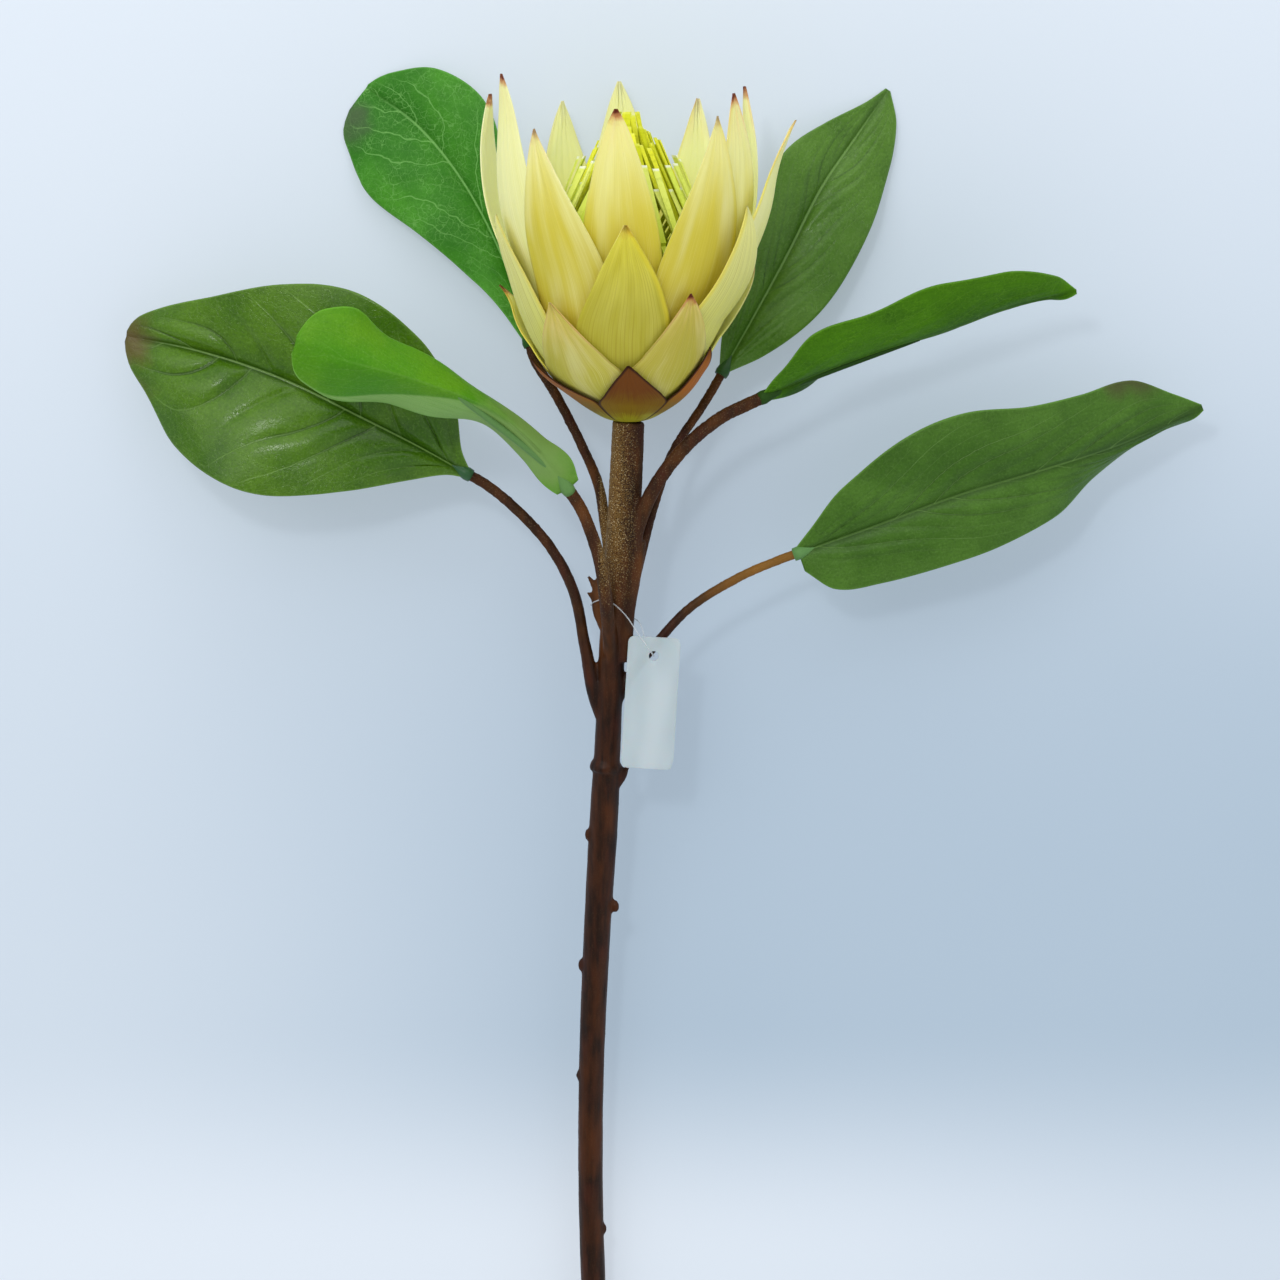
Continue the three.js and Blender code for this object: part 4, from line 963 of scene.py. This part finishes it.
# Stem, twigs and what is moulded onto them, as rows [x, y, z, radius]
stemLine = [[0.8, -28, 3.75, 3.95], [-0.5, 7.6, 3.75, 4], [-3.1, 45.1, 6.6, 4], [-5.7, 75.7, 9.1, 4],
            [-7.4, 109.3, 11.8, 4], [-8, 142.8, 14.6, 4], [-7.5, 178, 17.6, 4.1], [-5.8, 217, 20.8, 4.3],
            [-3.6, 254, 24, 4.6], [-2.3, 279, 26, 4.2], [-1.1, 306, 28.2, 4.2], [1.2, 331, 30, 4.8],
            [3.3, 359, 32.2, 5.2], [4.4, 382.3, 34.05, 5.05]]
twigs = {
    "leaf_back_left": [[-0.9, 331, 29.3, 1.6], [-2.8, 347.7, 27.6, 1.8], [-5.3, 362, 24.4, 1.7],
                       [-10.3, 373.7, 21, 1.6], [-18.7, 390, 18.2, 1.6]],
    "leaf_left": [[-2.4, 284, 26.6, 2.4], [-6.4, 296, 27.8, 2.5], [-9.6, 312, 29.2, 1.9],
                  [-13.2, 328.8, 30, 1.8], [-21, 343.2, 29.2, 1.7], [-33.5, 356.3, 27.4, 1.7]],
    "leaf_front_left": [[-0.8, 304, 29.5, 2.3], [-1.6, 314.6, 34, 2.3], [-2.8, 326.8, 40, 2.2],
                        [-4.4, 338, 41.8, 2.1], [-8.6, 351, 42.2, 2]],
    "leaf_back_right": [[4.6, 326, 30.2, 2], [8.1, 340, 29, 1.9], [12.4, 355.4, 27.8, 1.6],
                        [18.5, 372.3, 25.6, 1.5], [28, 387, 23, 1.5]],
    "leaf_upper_right": [[4.4, 334, 32.6, 2.6], [6.2, 345.9, 34.6, 2.6], [11.8, 360.2, 36.4, 2.3],
                         [21.2, 373.4, 37.4, 2.2], [33, 383.4, 38, 2.1]],
    "leaf_lower_right": [[-0.9, 289.7, 27.2, 1.9], [4.4, 300.4, 28.2, 1.8], [12.8, 311.3, 29.3, 1.6],
                         [23.8, 323.1, 30, 1.5], [39.6, 332.9, 29.6, 1.5]],
}
rightFork = [[3.2, 306, 30, 2.4], [3.8, 322, 31.2, 2.7], [6, 337, 32.3, 3], [7.6, 345, 33, 2.4]]
knots = [[-8.6, 250, 24.6, 1.5], [0.2, 226.6, 22.6, 1.6], [-10.8, 207.4, 20, 1.6],
         [-3.4, 200.6, 19.4, 1.4], [-4.2, 186.4, 18.2, 1.3], [-11.6, 171, 17.2, 1.4],
         [-3.6, 120, 13.4, 1.3], [-9.2, 82, 9.6, 1.3], [3, 30, 5.6, 1.3]]
collar = [[-3.0, 270.2, 25.4, 4.4], [-2.9, 270.8, 25.4, 5.1], [-2.9, 273.0, 25.6, 5.0],
          [-2.8, 273.8, 25.7, 4.4]]
barkScale = [[-0.2, 266, 25.6, 1.9], [2.6, 269.6, 25.8, 1.5], [4.6, 272.6, 26, 0.3]]
brokenTwig = [[[-3, 317, 30, 2], [-4.4, 322, 30.6, 2.6], [-4.8, 327, 31.2, 2.5], [-5.2, 331, 31.4, 1.6]],
              [[-4.6, 326, 31, 1.8], [-5.2, 336, 32, 0.5]],
              [[-4.6, 327, 31, 1.6], [-8.4, 333.4, 31.4, 0.5]],
              [[-4.6, 324, 31, 1.5], [-8.6, 328.2, 31, 0.5]],
              [[-4.4, 326, 32, 1.4], [-2.6, 332.4, 33.4, 0.5]]]
bark = {"voxel": 0.55, "smoothing": 0.5, "smoothings": 4, "sides": 24, "row": 1.5, "fewestRows": 4,
        "twigSides": 18, "twigRow": 1.2, "pegRadius": 2.3, "pegLength": 12, "pegRoot": 6, "pegRows": 10,
        "twigBack": 6, "twigIn": 0.4, "knotScale": (0.75, 1.3, 0.75), "grain": 0.14, "grainSize": 0.9,
        "grainFrom": (60, 90), "grainLeast": 0.25, "ridge": 0.1, "ridgeScale": (0.9, 0.12, 0.9)}


def twigLine(name):
    # a twig runs into its leaf's sleeve
    rib = Line(leaves[name]["rib"])
    radius = twigs[name][-1][3]
    start, way = rib.at(0)[:3], rib.way(0.0)
    ends = [[*(start + way * along), radius] for along in (-bark["twigBack"], bark["twigIn"])]
    return Line(twigs[name] + ends)


def addStem():
    made = []
    for stops in [stemLine, rightFork, collar, barkScale, *brokenTwig]:
        line = Line(stops)
        rows = max(int(line.length / bark["row"]), bark["fewestRows"])
        made.append(addTube("limb", line, bark["sides"], rows))
    for name in twigs:
        line = twigLine(name)
        made.append(addTube("twig", line, bark["twigSides"], int(line.length / bark["twigRow"])))
    for x, y, z, radius in knots:
        place = spots([x, y, z])
        bpy.ops.mesh.primitive_ico_sphere_add(subdivisions=3, radius=radius * mm, location=place)
        knot = bpy.context.object
        knot.scale = bark["knotScale"]
        only(knot)
        bpy.ops.object.transform_apply(location=True, rotation=True, scale=True)
        made.append(knot)
    peg = inBloom(np.array([[0, -bark["pegRoot"], 0], [0, bark["pegLength"], 0]]))
    line = Line([[*end, bark["pegRadius"]] for end in peg])
    made.append(addTube("peg", line, bark["sides"], bark["pegRows"]))
    # one skin over all of them, then the grain of the bark
    piece = join("stem_fine", made)
    apply(piece, "REMESH", mode="VOXEL", voxel_size=bark["voxel"] * mm)
    apply(piece, "SMOOTH", factor=bark["smoothing"], iterations=bark["smoothings"])
    points, normals = readPoints(piece), readPoints(piece, "normal")
    rough = np.zeros(len(points))
    low, rise = bark["grainFrom"]
    for n, spot in enumerate(points):
        spot = Vector(spot) / mm
        upper = min(max((spot.y - low) / rise, bark["grainLeast"]), 1)
        grain = noise.noise(spot / bark["grainSize"]) * bark["grain"] * upper
        rough[n] = grain + noise.noise(spot * Vector(bark["ridgeScale"])) * bark["ridge"]
    writePoints(piece, offFloor(points + normals * (rough * mm)[:, None]))
    return piece


def barkFinish():
    look = colours(dark=(27, 13, 6), brown=(54, 27, 12), amber=(90, 46, 14), red=(76, 33, 19),
                   twig=(116, 70, 24), ochre=(150, 106, 42), gold=(124, 94, 46), speck=(208, 190, 146))
    finish = Finish("bark", look, Specular_IOR_Level=0.14)
    # places in the frame, in metres
    x, y = finish.split(finish.place)
    long = finish.grain(finish.scaled(finish.place, 1, 0.12, 1), 420.0, 3.0)
    cloud = finish.grain(finish.scaled(finish.place, 1, 0.5, 1), 130.0)
    fine = finish.grain(finish.place, 2500.0, 2.0, 0.6)
    speck = finish.cells(finish.place, 1900.0, "F1")
    finish.skin = finish.mix(long.within(0.35, 0.65), look["dark"], look["brown"])
    finish.paint(cloud.within(0.42, 0.8) * 0.4, "amber")
    finish.paint(cloud.within(0.5, 0.2) * 0.4, "red")
    # gold dust lies on the upper stem, thickest on its left, and thinly on the twigs
    high = y.within(0.084, 0.112)
    onStem = x.within(-0.0215, -0.0195) * x.within(-0.0072, -0.0098)
    left = x.within(-0.0092, -0.0155)
    onTwigs = y.within(0.06, 0.09) * (1.0 - high * onStem)
    finish.paint(onTwigs * cloud.within(0.25, 0.85) * 0.4, "twig")
    # the end of the lower right twig is ochre
    finish.paint(x.within(0.004, 0.032) * y.within(0.125, 0.11) * 0.6, "ochre")
    cover = high * onStem * (0.2 + left * 0.5) + y.within(0.07, 0.14) * 0.1 + 0.02
    finish.paint((fine + cover * 0.25).within(0.52, 0.74) * cover, "gold")
    finish.paint(speck.within(0.34, 0.2) * cover * fine.within(0.4, 0.55), "speck")
    return finish.seal(0.44 + high * 0.2 + (fine - 0.5) * 0.2, fine * (0.2 + cover) + long * 0.6, 0.5, 0.25)


finishPiece(addStem(), "stem", barkFinish())
print("stem done")


# Swing tag and its thread

def cardPoints(around, out):
    # around the hole, and out from the hole's edge to the card's edge
    wide, tall = tag["size"]
    turn = np.array(Matrix.Rotation(math.radians(tag["turn"]), 3, "Z")
                    @ Matrix.Rotation(math.radians(tag["lean"]), 3, "Y"))
    hole = np.array([0, tall / 2 - tag["holeFromTop"]])
    angle = around * math.pi
    way = np.stack([np.cos(angle), np.sin(angle)], axis=1)
    low, high = np.zeros(len(angle)), np.full(len(angle), tag["farthest"])
    # the card's edge lies between low and high, which close in on it
    for _ in range(tag["halvings"]):
        middle = (low + high) / 2
        spot = np.abs(way * middle[:, None] + hole)
        inset = np.maximum(spot - (np.array([wide, tall]) / 2 - tag["corner"]), 0)
        inside = np.hypot(inset[:, 0], inset[:, 1]) < tag["corner"]
        low, high = np.where(inside, middle, low), np.where(inside, high, middle)
    flat = way * (tag["hole"] + (low - tag["hole"]) * out)[:, None] + hole
    bulge = tag["arch"] * (0.5 - (flat[:, 0] / wide * 2) ** 2)
    return np.stack([flat[:, 0], flat[:, 1], bulge], axis=1) @ turn.T + tag["middle"]


def addCard():
    # the grid's columns run round the hole, and its rows go out to the card's edge
    piece, around, out = addGrid("hang_tag_fine", tag["columns"], tag["rows"])
    writePoints(piece, spots(cardPoints(around, out)))
    edit(piece, merge(0.01))
    apply(piece, "SOLIDIFY", thickness=tag["thickness"] * mm, offset=0)
    apply(piece, "BEVEL", width=tag["edge"] * mm, segments=2, limit_method="ANGLE")
    edit(piece, faceOutward)
    return piece


def tagFinish():
    look = colours(milky=(182, 197, 201), clear=(202, 214, 217))
    finish = Finish("tag plastic", look, Subsurface_Weight=0.15, Subsurface_Scale=0.002, Alpha=0.72,
                    Specular_IOR_Level=0.35)
    cloud = finish.grain(finish.scaled(finish.place, 1, 0.3, 1), 90.0, 1.0)
    scuff = finish.grain(finish.scaled(finish.place, 1, 0.1, 1), 2600.0)
    finish.skin = finish.mix(cloud.within(0.3, 0.7), look["milky"], look["clear"])
    return finish.seal(0.3 + scuff * 0.2, scuff, 0.15, 0.1)


thread = {"radius": 0.2, "sides": 12, "rows": 160, "stops": [
    [12.2, 308.4, 35], [7.4, 315.4, 36], [2.8, 322, 36.2], [-2.8, 326.2, 35.8], [-6.2, 325.4, 33.8],
    [-7.5, 324, 30.2], [-5.4, 323.2, 26], [0.4, 321.4, 23.7], [5.6, 319.6, 25.2], [8, 318, 28.4],
    [9.6, 313.4, 30.6], [12, 308.6, 32.1]]}


def addThread():
    points = np.array(thread["stops"])
    normal = unit(np.cross(points, np.roll(points, -1, axis=0)).sum(axis=0))
    line = Line([[*stop, thread["radius"]] for stop in thread["stops"]], closed=True)
    return addTube("tag_loop_fine", line, thread["sides"], thread["rows"], normal, closed=True)


def threadFinish():
    look = colours(clear=(196, 204, 208), light=(226, 230, 232))
    finish = Finish("clear thread", look, IOR=1.5, Alpha=0.4)
    strand = finish.grain(finish.place, 900.0, 1.0)
    finish.feed("Base Color", finish.mix(strand, look["clear"], look["light"]))
    finish.feed("Roughness", 0.15 + strand * 0.15)
    return finish.material


finishPiece(addCard(), "hang_tag", tagFinish(), angle=35)
finishPiece(addThread(), "tag_loop", threadFinish())
print("tag done")


# Floor and light

studio = {"floor": 4, "wallStrength": 1.2, "ceilingStrength": 0.55, "horizon": (0.1, 0.75),
          **colours(walls=(238, 242, 248))}
# Each lamp is where it hangs, what it faces, its size, power and tint
lamps = {"key": ((-0.9, 1.1, 1.7), (0, 0.1, 0.02), 1.5, 12.4, (1, 0.99, 0.97)),
         "top": ((0.2, 1.6, 1), (0, 0.15, 0.02), 1.2, 6.6, (1, 1, 0.98)),
         "glint": ((-0.35, 0.7, 1.5), (-0.05, 0.12, 0.02), 0.16, 4, (1, 1, 1)),
         "fill": ((1.3, -0.3, 1.5), (0, 0.1, 0.02), 2, 5.5, (0.97, 0.99, 1))}


def floorFinish():
    look = {"dim": (0.58, 0.58, 0.58, 1), **colours(light=(223, 231, 240), shade=(168, 187, 204))}
    finish = Finish("pale paper", look, Roughness=0.9, Specular_IOR_Level=0.1, Emission_Strength=0.46)
    # places on the floor, in metres
    x, y = finish.split(finish.place)
    # the paper falls into shade low on the right and clears towards the top, the left and the foot
    foot = y.within(-0.125, -0.045)
    deep = y.within(0.4, 0.0) * (foot * 0.92 + (1.0 - foot) * x.within(0.0, 0.2) * 0.27 + 0.08)
    wide = 0.4 + x.within(-0.22, 0.03) * 0.5 - x.within(0.06, 0.2) * y.within(0.06, 0.2) * 0.2
    cloud = finish.grain(finish.place, 7.0, 1.0)
    # it glows a little, so that shadows on it stay faint
    paper = finish.mix(deep * wide + (cloud - 0.5) * 0.08, look["light"], look["shade"])
    finish.feed("Base Color", finish.mix(1.0, paper, look["dim"], "MULTIPLY"))
    finish.feed("Emission Color", paper)
    return finish.material


def addFloor():
    deselect()
    bpy.ops.mesh.primitive_plane_add(size=studio["floor"])
    floor = bpy.context.object
    floor.name = "floor"
    floor.data.materials.append(floorFinish())


def addLamp(name, place, target, size, power, tint):
    data = bpy.data.lights.new(name, "AREA")
    data.shape = "SQUARE"
    data.size = size
    data.energy = power
    data.color = tint
    lamp = bpy.data.objects.new(name, data)
    bpy.context.scene.collection.objects.link(lamp)
    lamp.location = place
    lamp.rotation_euler = (Vector(target) - Vector(place)).to_track_quat("-Z", "Y").to_euler()


def addSky():
    # bright walls and a dim ceiling, so that what faces up keeps its own colour
    world = bpy.data.worlds.new("studio")
    world.use_nodes = True
    tree = world.node_tree
    place = tree.nodes.new("ShaderNodeTexCoord")
    parts = tree.nodes.new("ShaderNodeSeparateXYZ")
    fade = tree.nodes.new("ShaderNodeMapRange")
    fade.interpolation_type = "SMOOTHSTEP"
    stops = (*studio["horizon"], studio["wallStrength"], studio["ceilingStrength"])
    for index, value in enumerate(stops):
        fade.inputs[index + 1].default_value = value
    tree.links.new(place.outputs["Generated"], parts.inputs[0])
    tree.links.new(parts.outputs["Z"], fade.inputs["Value"])
    tree.links.new(fade.outputs["Result"], tree.nodes["Background"].inputs["Strength"])
    tree.nodes["Background"].inputs["Color"].default_value = studio["walls"]
    bpy.context.scene.world = world


addFloor()
for name, lamp in lamps.items():
    addLamp(name, *lamp)
addSky()
bpy.context.scene.view_settings.view_transform = "Standard"
print("studio done")
